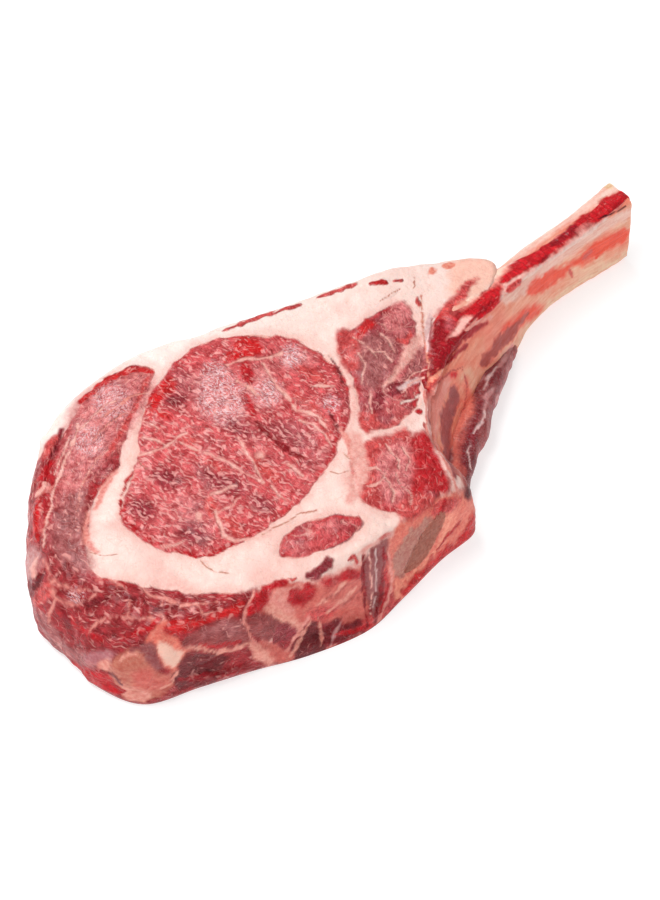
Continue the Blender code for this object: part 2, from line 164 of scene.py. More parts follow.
# Areas filled before the lines: the colour, how soft the edge is, and the outline as seen.
AREAS = (
    # cap muscle where it catches the light
    ("rose", 16, ((78, 404), (100, 388), (128, 378), (150, 374), (148, 398), (132, 424),
                  (114, 448), (96, 466), (80, 492), (62, 510), (60, 480), (66, 440))),
    ("smoke", 12, ((56, 512), (76, 492), (88, 500), (84, 540), (92, 566), (72, 574), (52, 556))),
    # near wall, left end
    ("meat", 5, ((22, 560), (45, 540), (70, 575), (120, 588), (217, 598), (250, 590), (262, 600),
                 (252, 662), (180, 692), (120, 702), (60, 674), (30, 640))),
    ("silver", 6, ((24, 556), (34, 546), (42, 554), (40, 570), (32, 576), (24, 574))),
    ("claret", 3, ((26, 584), (38, 574), (45, 576), (38, 590), (28, 596))),
    ("coral", 4, ((40, 588), (50, 582), (52, 594), (44, 601), (34, 606))),
    ("smoke", 4, ((40, 612), (52, 624), (66, 640), (84, 652), (104, 652), (117, 654), (110, 666),
                  (96, 669), (82, 664), (66, 655), (52, 642), (42, 630))),
    ("lilac", 3, ((84, 656), (100, 651), (116, 652), (110, 662), (94, 663))),
    ("ash", 3, ((98, 663), (108, 659), (114, 664), (110, 671), (101, 669))),
    ("blood", 4, ((54, 660), (68, 661), (84, 668), (104, 673), (122, 685), (126, 694), (108, 692),
                  (84, 680), (64, 671))),
    ("fawn", 3, ((110, 664), (118, 656), (128, 650), (138, 650), (148, 660), (156, 670),
                 (166, 675), (178, 673), (172, 686), (158, 696), (140, 702), (124, 696),
                 (115, 681), (108, 672))),
    ("salmon", 8, ((134, 674), (150, 668), (160, 678), (171, 677), (164, 690), (146, 690),
                 (136, 686))),
    ("ash", 4, ((120, 684), (134, 689), (150, 693), (144, 702), (126, 698))),
    ("mauve", 3, ((131, 651), (138, 645), (150, 641), (157, 647), (159, 658), (166, 667),
                  (158, 669), (148, 660), (140, 651))),
    ("amber", 3, ((149, 610), (158, 622), (168, 619), (169, 632), (178, 638), (184, 646),
                  (190, 650), (184, 660), (178, 670), (166, 669), (160, 660), (155, 646),
                  (145, 641), (152, 630))),
    # pale patch on a raised lump: painted highlight
    ("shell", 3, ((158, 645), (168, 642), (176, 650), (183, 652), (176, 665), (166, 665),
                  (160, 655))),
    ("bright", 3, ((162, 630), (170, 622), (186, 619), (204, 616), (224, 609), (243, 602),
                   (243, 613), (222, 619), (200, 627), (180, 633), (168, 635))),
    ("dusk", 3, ((180, 641), (196, 633), (204, 626), (222, 619), (241, 619), (247, 634),
                 (251, 641), (238, 646), (210, 649), (190, 648))),
    ("smoke", 5, ((206, 627), (226, 620), (240, 623), (238, 634), (218, 634), (204, 636))),
    ("night", 3, ((182, 660), (190, 653), (202, 652), (222, 654), (229, 658), (226, 670),
                  (214, 682), (196, 688), (178, 689), (172, 680), (178, 672))),
    ("meat", 4, ((229, 658), (240, 654), (256, 652), (264, 664), (244, 676), (220, 684))),
    # near wall, right half
    ("salmon", 4, ((252, 606), (262, 588), (285, 582), (306, 585), (330, 586), (350, 578),
                   (367, 566), (369, 624), (345, 624), (318, 622), (296, 626), (276, 622))),
    ("blood", 2.5, ((262, 588), (270, 583), (284, 578), (285, 586), (274, 589), (270, 597),
                    (265, 606), (258, 613), (250, 617), (246, 612), (250, 601), (255, 594))),
    ("blush", 3, ((268, 598), (278, 590), (292, 587), (306, 585), (308, 592), (296, 596),
                  (290, 602), (294, 611), (284, 614), (275, 607))),
    ("ash", 3, ((264, 606), (276, 605), (286, 612), (296, 620), (306, 631), (296, 633),
                (284, 625), (270, 618))),
    ("dusk", 3, ((246, 622), (252, 616), (263, 613), (272, 617), (281, 623), (277, 631),
                 (270, 640), (260, 641), (250, 632))),
    ("maroon", 2.5, ((276, 631), (283, 624), (291, 625), (297, 631), (296, 638), (286, 640),
                     (276, 638))),
    ("blood", 3, ((287, 597), (293, 590), (302, 588), (308, 583), (315, 588), (313, 597),
                  (308, 604), (300, 608), (291, 605))),
    ("coral", 4, ((306, 615), (318, 606), (337, 607), (332, 616), (320, 621), (308, 620))),
    ("salmon", 4, ((340, 609), (352, 604), (362, 606), (361, 616), (346, 618))),
    ("blood", 3, ((322, 582), (338, 575), (352, 569), (363, 573), (352, 579), (338, 583),
                  (328, 586))),
    ("maroon", 2.5, ((307, 577), (314, 567), (324, 559), (333, 558), (332, 568), (322, 575),
                     (312, 581))),
    ("night", 3, ((288, 662), (296, 642), (304, 631), (310, 622), (317, 626), (319, 634),
                  (325, 643), (318, 656), (302, 664))),
    ("claret", 3, ((326, 630), (331, 621), (341, 618), (338, 630), (333, 641), (324, 643),
                   (320, 635))),
    ("claret", 3, ((340, 629), (352, 622), (366, 620), (374, 627), (362, 638), (346, 646),
                   (334, 648))),
    ("coral", 4, ((363, 621), (372, 614), (384, 618), (384, 632), (370, 637), (365, 629))),
    ("ash", 3, ((249, 643), (258, 641), (268, 650), (277, 657), (268, 664), (254, 658))),
    ("salmon", 4, ((259, 641), (275, 645), (288, 651), (294, 660), (281, 666), (268, 652))),
    ("mauve", 2.5, ((366, 556), (376, 546), (389, 540), (389, 560), (385, 580), (384, 600),
                    (382, 620), (375, 621), (370, 606), (365, 592), (362, 578))),
    ("coral", 3, ((389, 552), (394, 570), (397, 590), (404, 604), (392, 616), (382, 628),
                  (379, 612), (384, 596), (386, 576))),
    # sawn vertebra and the bent foot of the bone
    ("amber", 5, ((396, 528), (430, 502), (462, 492), (480, 506), (484, 532), (458, 560),
                  (426, 588), (402, 606), (392, 590), (388, 562))),
    ("clay", 4, ((436, 548), (446, 512), (452, 506), (456, 520), (450, 536), (428, 562),
                 (412, 578), (398, 600), (396, 584), (412, 572))),
    ("bright", 3, ((402, 596), (410, 578), (424, 568), (434, 556), (446, 545), (458, 540),
                   (466, 526), (472, 512), (478, 520), (484, 536), (458, 564), (430, 586))),
    ("marrow", 2.5, ((394, 573), (391, 561), (396, 550), (404, 540), (412, 530), (420, 522),
                     (430, 517), (438, 520), (437, 533), (430, 545), (420, 557), (410, 569),
                     (402, 576), (397, 577))),
    ("coral", 3, ((432, 512), (440, 500), (450, 498), (460, 500), (452, 512), (440, 518))),
    # strip of meat on the rib, and the fat where it starts
    ("cream", 4, ((488, 250), (520, 232), (560, 204), (606, 174), (620, 184), (604, 197),
                  (580, 211), (560, 221), (540, 236), (520, 255), (504, 268), (492, 270))),
    ("pink", 4, ((500, 286), (520, 274), (540, 264), (560, 249), (580, 234), (602, 221),
                 (630, 208), (630, 216), (600, 234), (560, 264), (530, 290), (505, 304))),
    ("shell", 10, ((456, 256), (500, 250), (506, 272), (488, 290), (466, 306), (452, 300),
                   (448, 280))),
    ("coral", 4, ((478, 276), (466, 296), (446, 312), (434, 316), (448, 302), (462, 286))),
    ("blood", 2.5, ((502, 286), (497, 300), (484, 315), (468, 320), (464, 312), (478, 299),
                    (490, 288))),
    ("pink", 3, ((478, 318), (462, 320), (450, 334), (436, 356), (426, 372), (432, 374),
                 (446, 352), (466, 332))),
    ("deep", 2.5, ((486, 318), (482, 330), (463, 343), (450, 358), (434, 374), (427, 382),
                   (425, 366), (436, 350), (448, 338), (466, 327))),
    ("deep", 2.5, ((440, 316), (447, 326), (441, 345), (432, 360), (428, 342), (434, 324))),
    ("clay", 3, ((484, 334), (480, 344), (462, 362), (448, 372), (430, 388), (430, 380),
                 (446, 364), (462, 348))),
    ("blood", 2.5, ((460, 370), (448, 384), (436, 393), (425, 402), (428, 388), (442, 376))),
    # inner face of the rib and its lining
    ("rust", 5, ((628, 228), (606, 236), (590, 246), (576, 257), (564, 264), (580, 266),
                 (598, 257), (614, 247), (628, 240))),
    ("rust", 4, ((572, 264), (556, 268), (540, 276), (526, 290), (532, 296), (548, 288),
                 (562, 278))),
    ("peach", 5, ((632, 262), (600, 279), (568, 298), (548, 314), (532, 332), (522, 348),
                  (517, 342), (530, 320), (556, 294), (596, 268), (630, 250))),
    ("rust", 5, ((542, 304), (524, 309), (510, 320), (500, 330), (510, 334), (526, 324),
                 (540, 314))),
    ("umber", 3, ((528, 314), (508, 328), (494, 341), (482, 357), (480, 368), (490, 363),
                  (502, 350), (516, 335))),
    ("blush", 5, ((434, 386), (447, 375), (452, 384), (445, 400), (439, 420), (437, 438),
                  (430, 420), (427, 400))),
    ("mauve", 3, ((452, 384), (459, 392), (457, 410), (451, 424), (453, 448), (458, 480),
                  (450, 474), (442, 446), (441, 420), (446, 400))),
    ("amber", 5, ((464, 378), (472, 392), (473, 410), (467, 424), (460, 436), (458, 450),
                  (464, 480), (456, 470), (451, 450), (453, 430), (461, 408))),
    ("brown", 5, ((458, 440), (466, 430), (470, 442), (466, 462), (470, 490), (460, 476))),
    # muscle beside the rib
    ("coral", 5, ((336, 332), (352, 330), (364, 346), (362, 366), (350, 372), (340, 356))),
    ("bright", 3, ((357, 334), (361, 323), (371, 318), (377, 325), (368, 332), (362, 338))),
    ("smoke", 8, ((360, 342), (372, 334), (392, 338), (397, 354), (388, 372), (376, 388),
                 (364, 384), (358, 362))),
    ("rose", 4, ((384, 320), (392, 308), (404, 303), (412, 312), (404, 326), (392, 330))),
    ("pink", 4, ((396, 366), (402, 348), (412, 338), (419, 334), (418, 350), (408, 364),
                 (394, 382), (382, 396), (378, 392))),
    ("smoke", 6, ((418, 350), (428, 348), (428, 366), (412, 376), (400, 384), (406, 372))),
    ("maroon", 3, ((384, 388), (396, 382), (408, 380), (402, 392), (390, 396))),
    ("maroon", 3, ((374, 394), (381, 388), (384, 400), (378, 416), (372, 414))),
    ("coral", 4, ((360, 414), (374, 412), (380, 424), (368, 434), (360, 428))),
    # muscle beside the vertebra
    ("coral", 5, ((356, 452), (366, 440), (386, 436), (404, 428), (412, 436), (392, 446),
                  (378, 456), (376, 480), (384, 500), (372, 508), (358, 492), (352, 470))),
    ("rose", 9, ((384, 448), (404, 444), (412, 462), (410, 490), (400, 506), (386, 500),
                 (378, 476))),
    ("blood", 5, ((410, 436), (426, 432), (434, 444), (442, 464), (450, 488), (442, 494),
                  (428, 490), (418, 500), (410, 496), (414, 476), (416, 456))),
    ("coral", 5, ((398, 504), (412, 494), (430, 496), (430, 508), (414, 518), (402, 518))),
)

# Marks along lines: the colour, the width, how soft the edge is, and the points that it follows.
LINES = (
    # eye muscle: red patches and bundles
    ("bright", 17, 3, ((238, 345), (252, 346), (258, 349))),
    ("bright", 11, 3, ((226, 357), (240, 354), (252, 353))),
    ("blood", 11, 3, ((245, 364), (247, 372), (249, 381))),
    ("blood", 11, 3, ((243, 394), (249, 405), (254, 414))),
    ("deep", 5, 2, ((257, 422), (266, 433), (277, 443), (290, 452), (304, 458))),
    ("bright", 11, 4, ((170, 380), (160, 393), (152, 405), (148, 418))),
    ("coral", 10, 3, ((296, 396), (308, 406), (322, 420), (330, 434))),
    ("coral", 9, 3, ((296, 366), (310, 372), (326, 384))),
    ("blood", 3.5, 1, ((121, 500), (120, 514), (128, 523), (146, 536), (166, 548), (199, 556))),
    ("blood", 3, 1, ((199, 556), (216, 552), (240, 540), (262, 528))),
    ("blood", 3, 1.5, ((134, 470), (126, 482), (122, 496))),
    ("coral", 14, 5, ((256, 462), (266, 470), (276, 478))),
    ("coral", 13, 4, ((208, 500), (212, 508), (216, 516))),
    ("coral", 13, 3, ((226, 520), (236, 528), (240, 534))),
    # eye muscle: veins of fat
    ("pink", 3.2, 2.2, ((187, 433), (175, 439), (164, 448), (139, 456))),
    ("pink", 2.6, 2.2, ((175, 440), (196, 449), (206, 453))),
    ("pink", 3.6, 2.6, ((206, 452), (222, 459), (233, 465), (246, 473), (263, 482))),
    ("pink", 3.0, 2.4, ((238, 437), (247, 453), (253, 462), (258, 473), (262, 481))),
    ("pink", 3.2, 2.4, ((237, 381), (247, 387), (258, 395))),
    ("pink", 3.0, 2.2, ((263, 363), (279, 389), (293, 405), (297, 410))),
    ("pink", 3.4, 2.4, ((292, 404), (297, 410), (317, 416), (326, 428))),
    ("pink", 3.2, 2.2, ((226, 365), (245, 360), (269, 358), (281, 353))),
    ("pink", 3.2, 2.4, ((210, 495), (222, 491), (235, 486))),
    ("pink", 3.8, 2.4, ((216, 512), (219, 523), (224, 534), (236, 541), (252, 538))),
    ("pink", 2.4, 2.2, ((240, 497), (232, 506), (224, 510), (217, 514))),
    ("pink", 3.0, 2.2, ((288, 463), (296, 470), (303, 476))),
    ("pink", 2.2, 2.2, ((272, 486), (280, 496), (290, 503))),
    ("pink", 2.4, 2.2, ((160, 546), (172, 547), (184, 541))),
    ("pink", 3.0, 1.4, ((312, 386), (320, 385), (334, 386))),
    ("pink", 2.6, 2.2, ((300, 421), (312, 424), (326, 436), (332, 446))),
    ("pink", 2.4, 2.2, ((140, 420), (152, 425), (162, 431))),
    ("pink", 2.2, 2.2, ((143, 438), (156, 440), (166, 445))),
    # dark lines down two creases, which RIDGES also carves: painted shade in the creases
    ("claret", 2.4, 1.6, ((327, 355), (338, 368), (343, 382))),
    ("claret", 2.6, 1.8, ((329, 412), (336, 424), (340, 434))),
    ("line", 1.2, 0.8, ((137, 459), (142, 465), (146, 469))),
    # cap muscle
    ("bright", 6, 1.5, ((153, 371), (132, 369), (109, 379), (94, 390), (80, 402))),
    ("coral", 5, 3, ((148, 377), (137, 402), (127, 422), (115, 442), (107, 456))),
    ("pink", 3.0, 0.8, ((78, 424), (72, 444), (63, 464), (57, 482), (50, 507), (45, 530),
                        (43, 548))),
    ("pink", 1.8, 0.8, ((70, 436), (62, 456), (54, 474))),
    ("pink", 1.8, 0.8, ((122, 399), (108, 404), (92, 417), (76, 432))),
    ("blush", 1.8, 0.8, ((150, 392), (132, 396), (116, 408), (100, 420))),
    ("blush", 1.6, 0.8, ((134, 412), (122, 414), (106, 426), (92, 440))),
    ("blush", 1.8, 0.8, ((96, 462), (88, 474), (80, 490), (78, 506))),
    ("blush", 1.6, 0.8, ((108, 450), (98, 458), (90, 470))),
    ("maroon", 7, 3, ((62, 430), (56, 448), (50, 464))),
    ("blood", 7, 2, ((52, 462), (44, 474), (39, 480))),
    ("coral", 9, 3, ((56, 438), (50, 446), (44, 456))),
    ("bright", 6, 2, ((40, 500), (37, 514), (36, 528), (38, 540))),
    ("pink", 5, 1.5, ((46, 484), (41, 490), (37, 496))),
    ("pink", 6, 2, ((36, 558), (33, 568), (34, 576))),
    # dark line down a crease that RIDGES also carves: painted shade
    ("night", 4, 1.5, ((44, 574), (38, 582), (34, 590))),
    ("blush", 7, 4, ((88, 514), (86, 530), (86, 542), (98, 552))),
    ("blush", 6, 3, ((116, 470), (108, 482), (102, 494), (94, 510))),
    # black lines down creases that RIDGES also carves: painted shade in them
    ("black", 1.3, 0.7, ((60, 520), (68, 521), (78, 519))),
    ("black", 3.0, 1.2, ((66, 560), (69, 568), (73, 578))),
    ("black", 2.0, 1.0, ((88, 607), (98, 604), (108, 600))),
    ("blush", 3.0, 2.6, ((54, 580), (62, 585), (74, 590), (86, 589))),
    ("blush", 3.0, 2.6, ((50, 594), (60, 600), (74, 605), (88, 602), (96, 594))),
    ("blush", 3.0, 2.6, ((44, 560), (50, 574), (54, 590), (52, 606), (48, 622))),
    ("blush", 3.0, 2.6, ((103, 619), (120, 617), (138, 620), (156, 618))),
    ("blush", 3.0, 2.6, ((88, 632), (96, 624), (106, 618))),
    ("blush", 3.0, 2.6, ((110, 578), (122, 586), (130, 600), (128, 614))),
    ("blush", 3.0, 2.6, ((140, 586), (150, 596), (164, 598), (180, 606), (196, 604), (216, 602))),
    ("blush", 3.0, 2.6, ((164, 598), (160, 612), (168, 622))),
    ("blush", 3.0, 2.6, ((196, 604), (202, 614), (212, 612))),
    ("blood", 6, 2.5, ((124, 638), (140, 632), (152, 628), (158, 618))),
    ("blood", 5, 2.5, ((58, 610), (72, 622), (88, 634), (104, 640))),
    ("blood", 5.5, 1.5, ((40, 646), (56, 658), (72, 668), (92, 679), (108, 687), (124, 692))),
    ("black", 1.5, 0.8, ((52, 662), (70, 674), (92, 686), (110, 694))),
    # near wall, from left to right
    ("blood", 4, 2.0, ((200, 645), (220, 646), (240, 641))),
    ("deep", 5, 2, ((180, 680), (200, 677), (222, 672), (246, 664))),
    ("blush", 3.4, 2.0, ((253, 592), (246, 606), (244, 621), (249, 633), (256, 644))),
    ("blush", 3.4, 2.0, ((309, 618), (300, 630), (292, 642), (286, 650))),
    ("silver", 3.4, 2.0, ((340, 622), (334, 634), (330, 646))),
    ("ash", 4.6, 2.0, ((186, 649), (200, 648), (216, 652), (234, 650), (250, 643))),
    ("ash", 3.4, 1.6, ((318, 619), (321, 630), (321, 644))),
    ("ash", 3.4, 1.4, ((316, 606), (330, 597), (345, 583))),
    ("ash", 3, 1.2, ((326, 613), (343, 601), (356, 587))),
    ("brown", 1.6, 1.0, ((322, 602), (336, 594), (350, 581))),
    ("brown", 1.6, 1.0, ((334, 610), (350, 600), (362, 590))),
    ("ash", 4.0, 2.0, ((311, 621), (303, 634), (296, 646), (290, 656))),
    ("coral", 3, 1.2, ((286, 577), (292, 580), (296, 578))),
    ("coral", 3.5, 1.5, ((348, 560), (354, 556), (358, 562))),
    ("ash", 3.0, 1.2, ((178, 672), (172, 682), (160, 690))),
    # pale line along the upper left of the raised lump: painted highlight
    ("ash", 3.0, 1.2, ((120, 660), (130, 654), (138, 655))),
    ("night", 3.0, 1.2, ((108, 672), (116, 676), (122, 684))),
    ("claret", 8, 3, ((84, 604), (98, 603), (110, 598))),
    ("claret", 7, 3, ((62, 610), (66, 620), (72, 628))),
    ("claret", 6, 3, ((64, 560), (68, 568), (72, 574))),
    ("claret", 7, 3, ((120, 588), (126, 596), (136, 600))),
    ("claret", 5, 2.5, ((150, 606), (164, 610), (178, 606))),
    ("blood", 5, 2, ((336, 634), (352, 631), (372, 625))),
    ("blush", 2.4, 1.0, ((326, 648), (344, 643), (364, 634), (384, 624))),
    ("black", 1.6, 1.0, ((296, 658), (320, 652), (344, 646), (372, 636))),
    ("deep", 3.5, 1.5, ((364, 556), (363, 580), (365, 604), (368, 626))),
    ("pink", 1.5, 0.8, ((370, 552), (372, 584), (371, 616))),
    ("grey", 1.4, 0.8, ((376, 548), (377, 576), (374, 608))),
    ("deep", 3.0, 1.5, ((384, 548), (383, 580), (379, 606), (375, 630))),
    ("blush", 3.5, 1.5, ((389, 552), (392, 580), (386, 606), (378, 624))),
    ("blood", 3, 1.5, ((386, 556), (387, 584), (382, 612))),
    ("blood", 4, 2, ((366, 636), (380, 628), (390, 612), (400, 600))),
    # sawn vertebra and the bent foot of the bone
    ("blood", 2.5, 1.5, ((462, 520), (448, 536), (436, 550))),
    ("blood", 4, 2, ((446, 500), (440, 516), (428, 528))),
    # muscle beside the rib
    ("pink", 2.2, 0.8, ((353, 337), (368, 347), (377, 358))),
    ("pink", 1.8, 0.8, ((358, 352), (365, 366), (362, 384))),
    ("pink", 2.4, 0.8, ((377, 330), (388, 340), (394, 352))),
    ("pink", 1.8, 0.8, ((372, 352), (384, 352), (392, 362))),
    ("coral", 6, 2, ((398, 338), (406, 342), (410, 332))),
    ("cream", 3.0, 1.2, ((424, 394), (412, 399), (402, 402))),
    # pale grey streak: painted sheen on the muscle
    ("grey", 6, 3, ((400, 388), (410, 382), (418, 380))),
    # muscle beside the vertebra
    ("pink", 2.6, 0.9, ((360, 462), (368, 470), (376, 468), (384, 474))),
    ("pink", 2.6, 0.9, ((360, 480), (368, 486), (380, 482), (388, 470))),
    ("pink", 2.2, 0.9, ((384, 440), (392, 452), (400, 462), (396, 474), (402, 486))),
    ("pink", 2.2, 0.9, ((402, 448), (410, 458), (406, 470))),
    ("pink", 2.2, 0.9, ((386, 478), (394, 492), (392, 504))),
    ("pink", 2.2, 0.9, ((402, 486), (412, 494), (410, 506))),
    # seams where the muscle beside the rib meets the end of the meat
    ("pink", 1.6, 0.8, ((428, 368), (414, 374), (400, 384))),
    ("pink", 1.6, 0.8, ((424, 378), (412, 382), (402, 392))),
    ("pink", 3, 1.0, ((369, 390), (371, 404), (372, 414))),
    ("plum", 8, 2.5, ((378, 418), (388, 420), (392, 416))),
    ("blood", 5, 1, ((419, 411), (421, 414))),
    ("brown", 4, 1.2, ((423, 422), (426, 428))),
    # lean along the far edge
    ("coral", 3.2, 1, ((222, 331), (246, 322), (270, 314), (300, 304))),
    ("coral", 3.2, 1, ((318, 298), (330, 294), (344, 288), (356, 284))),
    ("bright", 4, 1, ((370, 283), (378, 281), (386, 283))),
    ("coral", 3, 1, ((392, 282), (402, 280))),
    ("orange", 7, 2, ((430, 272), (435, 271))),
    ("orange", 7, 1.5, ((443, 266), (453, 265))),
    # hairlines and tints in the fat
    ("line", 1, 0.7, ((381, 301), (391, 294), (400, 290))),
    ("line", 1, 0.7, ((413, 277), (414, 286), (411, 293))),
    ("line", 1, 0.8, ((344, 452), (350, 458), (358, 459))),
    ("line", 1, 0.8, ((330, 472), (338, 474), (348, 470))),
    ("line", 1, 0.8, ((262, 535), (280, 526), (300, 514), (318, 510))),
    ("line", 1, 0.8, ((200, 560), (206, 567), (216, 572), (228, 573))),
    ("line", 1, 0.8, ((90, 552), (104, 556), (118, 554))),
    ("blush", 7, 3, ((340, 430), (352, 446), (356, 470))),
    ("pink", 16, 7, ((356, 436), (362, 470), (350, 500))),
    ("coral", 5, 2, ((417, 300), (419, 306))),
    # membrane down the end of the meat
    ("tan", 2.4, 1.0, ((421, 296), (423, 329), (428, 362), (428, 376))),
    ("blush", 2.6, 1.0, ((425, 390), (427, 431), (437, 446), (449, 470), (460, 496))),
    ("grey", 4, 3.0, ((431, 312), (430, 326), (429, 340))),
    # strip of meat on the rib
    ("grey", 5, 2, ((429, 314), (427, 334), (428, 350))),
    ("mauve", 2.2, 1.6, ((432, 318), (430, 336), (429, 352))),
    ("deep", 5, 3, ((492, 302), (480, 312), (470, 322))),
    ("deep", 5, 2, ((466, 346), (450, 360), (434, 374))),
    ("blush", 4, 1.4, ((492, 317), (476, 323), (466, 331))),
    # stripe along the bone's sawn edge
    ("blood", 6.5, 1.5, ((626, 191), (614, 196), (600, 203))),
    ("blood", 7.5, 1.5, ((599, 210), (588, 217), (576, 224))),
    ("deep", 8.5, 1.5, ((575, 228), (563, 237), (551, 245))),
    ("blood", 9.5, 1.5, ((549, 249), (538, 257), (526, 264))),
    ("blood", 8, 2, ((526, 267), (514, 274), (500, 281))),
    ("coral", 7, 2, ((521, 281), (514, 286), (508, 291))),
    ("black", 1.4, 0.7, ((627, 206), (615, 212), (599, 220))),
    ("straw", 10, 4, ((612, 180), (606, 186))),
    ("brown", 6, 3, ((592, 252), (584, 258))),
    ("rust", 5, 2.5, ((604, 250), (596, 258))),
    ("brown", 3.5, 1.2, ((569, 268), (572, 277))),
    # edge of the rib's lining
    ("brown", 1.6, 0.8, ((433, 386), (450, 371), (462, 367), (467, 386), (464, 410))),
    # dark meat behind the foot of the rib
    ("silver", 5, 2.5, ((512, 346), (502, 362), (494, 376))),
    ("claret", 6, 2.5, ((500, 368), (492, 378), (488, 384))),
    # the grey lines in this group are painted glints on the wet dark meat
    ("grey", 2.4, 1.4, ((497, 366), (488, 378), (484, 390))),
    ("silver", 6, 3, ((492, 388), (486, 400), (482, 414))),
    ("claret", 6, 2.5, ((482, 402), (478, 412), (474, 420))),
    ("claret", 14, 5, ((474, 428), (470, 446), (466, 462))),
    ("grey", 2.4, 1.4, ((486, 410), (480, 424), (474, 432))),
    ("night", 10, 4, ((474, 456), (472, 476), (468, 496))),
    ("grey", 2.0, 1.2, ((472, 440), (468, 452), (472, 470))),
)

# Round marks: colour, middle, half width and half height, turn in degrees, softness.
SPOTS = (
    ("plum", 190, 384, 24, 13, 20, 8), ("maroon", 176, 400, 12, 8, 0, 5),
    ("plum", 293, 436, 24, 14, 30, 8), ("maroon", 222, 480, 27, 12, 25, 8),
    ("maroon", 166, 478, 16, 10, 20, 7), ("maroon", 142, 508, 15, 10, 30, 6),
    ("maroon", 193, 534, 18, 11, 20, 7), ("bright", 168, 388, 9, 6, -50, 3),
    ("bright", 152, 403, 6, 5, 0, 3), ("bright", 164, 415, 8, 4, 20, 3),
    # the rose ovals on this and the next two lines are painted sheen where the light glints on the
    # eye muscle
    ("rose", 222, 402, 28, 18, 15, 12), ("rose", 268, 396, 16, 14, 0, 8),
    ("rose", 214, 376, 18, 9, -10, 7), ("rose", 292, 358, 18, 12, 0, 8),
    ("rose", 262, 372, 14, 9, 0, 6), ("coral", 190, 440, 9, 5, 10, 3),
    ("pink", 260, 457, 5, 5, 0, 3), ("pink", 255, 508, 5, 3, 20, 3),
    ("pink", 198, 516, 3, 4, 0, 1.5),
    ("maroon", 262, 505, 13, 9, 20, 5), ("maroon", 238, 428, 20, 8, 20, 7),
    ("coral", 214, 465, 14, 5, 25, 5), ("pink", 246, 345, 5, 3, 0, 2),
    # the rose ovals on the next line are painted sheen where the light glints on the cap muscle
    ("rose", 112, 402, 26, 12, -42, 10), ("rose", 96, 432, 18, 14, -30, 8),
    ("maroon", 68, 506, 15, 15, 0, 7), ("plum", 90, 470, 16, 12, -40, 7),
    ("maroon", 62, 600, 13, 9, 0, 5), ("maroon", 108, 600, 16, 9, -20, 6),
    ("night", 98, 606, 10, 4, -15, 3), ("meat", 130, 625, 26, 9, -10, 5),
    ("maroon", 176, 592, 34, 9, 6, 6), ("blood", 232, 604, 14, 9, 0, 5),
    ("plum", 450, 324, 5, 6, 0, 3),
)

# Relief in the meat: height in millimetres, width, softness, and the line, as the camera sees it.
RIDGES = (
    (1.6, 24, 6, ((120, 668), (134, 676), (144, 684))), (1.3, 15, 4, ((160, 640), (170, 652))),
    (-1.2, 14, 4, ((192, 668), (222, 664), (240, 657))),
    (0.8, 4, 2, ((188, 651), (219, 652), (250, 643))),
    (1.4, 22, 6, ((258, 624), (267, 626))), (-0.9, 3, 2, ((252, 596), (245, 614), (252, 638))),
    (1.0, 12, 4, ((272, 596), (290, 590))), (-0.8, 10, 4, ((294, 595), (300, 600))),
    (1.2, 12, 4, ((254, 648), (270, 656))), (-1.2, 10, 4, ((300, 640), (322, 632))),
    (-1.0, 3, 2, ((326, 640), (350, 634), (376, 624))), (1.0, 16, 5, ((318, 604), (360, 604))),
    (1.0, 8, 3, ((371, 552), (371, 590), (372, 620))), (-1.0, 3, 2, ((364, 556), (363, 600))),
    (-0.9, 3, 2, ((378, 556), (377, 612))), (-1.2, 3, 2, ((96, 632), (140, 644), (156, 652))),
    (-1.0, 3, 2, ((56, 632), (76, 646), (96, 650))), (1.2, 9, 4, ((44, 440), (52, 452))),
    (-1.4, 3, 2, ((62, 430), (52, 458), (44, 484))), (1.3, 9, 4, ((38, 508), (37, 536))),
    (-1.2, 3, 2, ((46, 500), (42, 530), (36, 552))), (1.2, 9, 4, ((36, 562), (34, 576))),
    (-1.2, 4, 2, ((40, 580), (34, 594))), (-0.8, 3, 2, ((60, 521), (78, 520))),
    (-1.0, 5, 3, ((66, 558), (73, 580))), (-1.0, 5, 3, ((86, 608), (110, 600))),
    (0.8, 10, 5, ((80, 446), (104, 424), (130, 396))), (-0.6, 3, 2, ((92, 446), (122, 418))),
    (-0.7, 2.5, 1.5, ((332, 356), (347, 382))), (-0.8, 3, 2, ((330, 412), (341, 436))),
    (0.7, 16, 7, ((240, 346), (258, 348))), (-0.6, 2.5, 1.5, ((226, 364), (280, 354))),
    (0.5, 4, 2, ((206, 452), (233, 465), (263, 482))), (0.5, 4, 2, ((238, 437), (262, 481))),
    (-0.8, 2, 1.5, ((198, 558), (216, 572), (230, 573))), (-0.6, 2, 1.5, ((262, 535), (318, 511))),
    (-0.5, 2, 1.5, ((381, 301), (400, 290))), (0.7, 5, 3, ((330, 294), (356, 284))),
    (0.7, 5, 3, ((370, 283), (386, 283))), (0.8, 9, 4, ((419, 332), (398, 366), (386, 384))),
    (0.9, 5, 3, ((425, 392), (428, 431), (449, 470))), (-0.7, 3, 2, ((88, 514), (86, 542))),
)


def linear(rgb):
    """Display colour out of 255 as linear light: the usual 2.4 power with its straight foot."""
    share = np.asarray(rgb, float) / 255.0
    return np.where(share > 0.04045, ((share + 0.055) / 1.055) ** 2.4, share / 12.92)


def ease(low, high, value):
    """0 below low, 1 above high, and 3t^2 - 2t^3 between."""
    t = np.clip((value - low) / (high - low), 0.0, 1.0)
    return t * t * (3.0 - 2.0 * t)


def bumps(points, size, seed):
    """Noise from -1 to 1: random values on a lattice of the given size, eased between corners."""
    table = np.random.default_rng(seed).random((32, 32, 32))
    at = points / size
    cell = np.floor(at).astype(int)
    part = at - cell
    part = part * part * (3.0 - 2.0 * part)
    total = np.zeros(points.shape[:-1])
    for corner in range(8):
        side = np.array([corner & 1, corner >> 1 & 1, corner >> 2 & 1])
        index = (cell + side) % 32
        share = np.prod(np.where(side, part, 1.0 - part), axis=-1)
        total += share * table[index[..., 0], index[..., 1], index[..., 2]]
    return 2.0 * total - 1.0


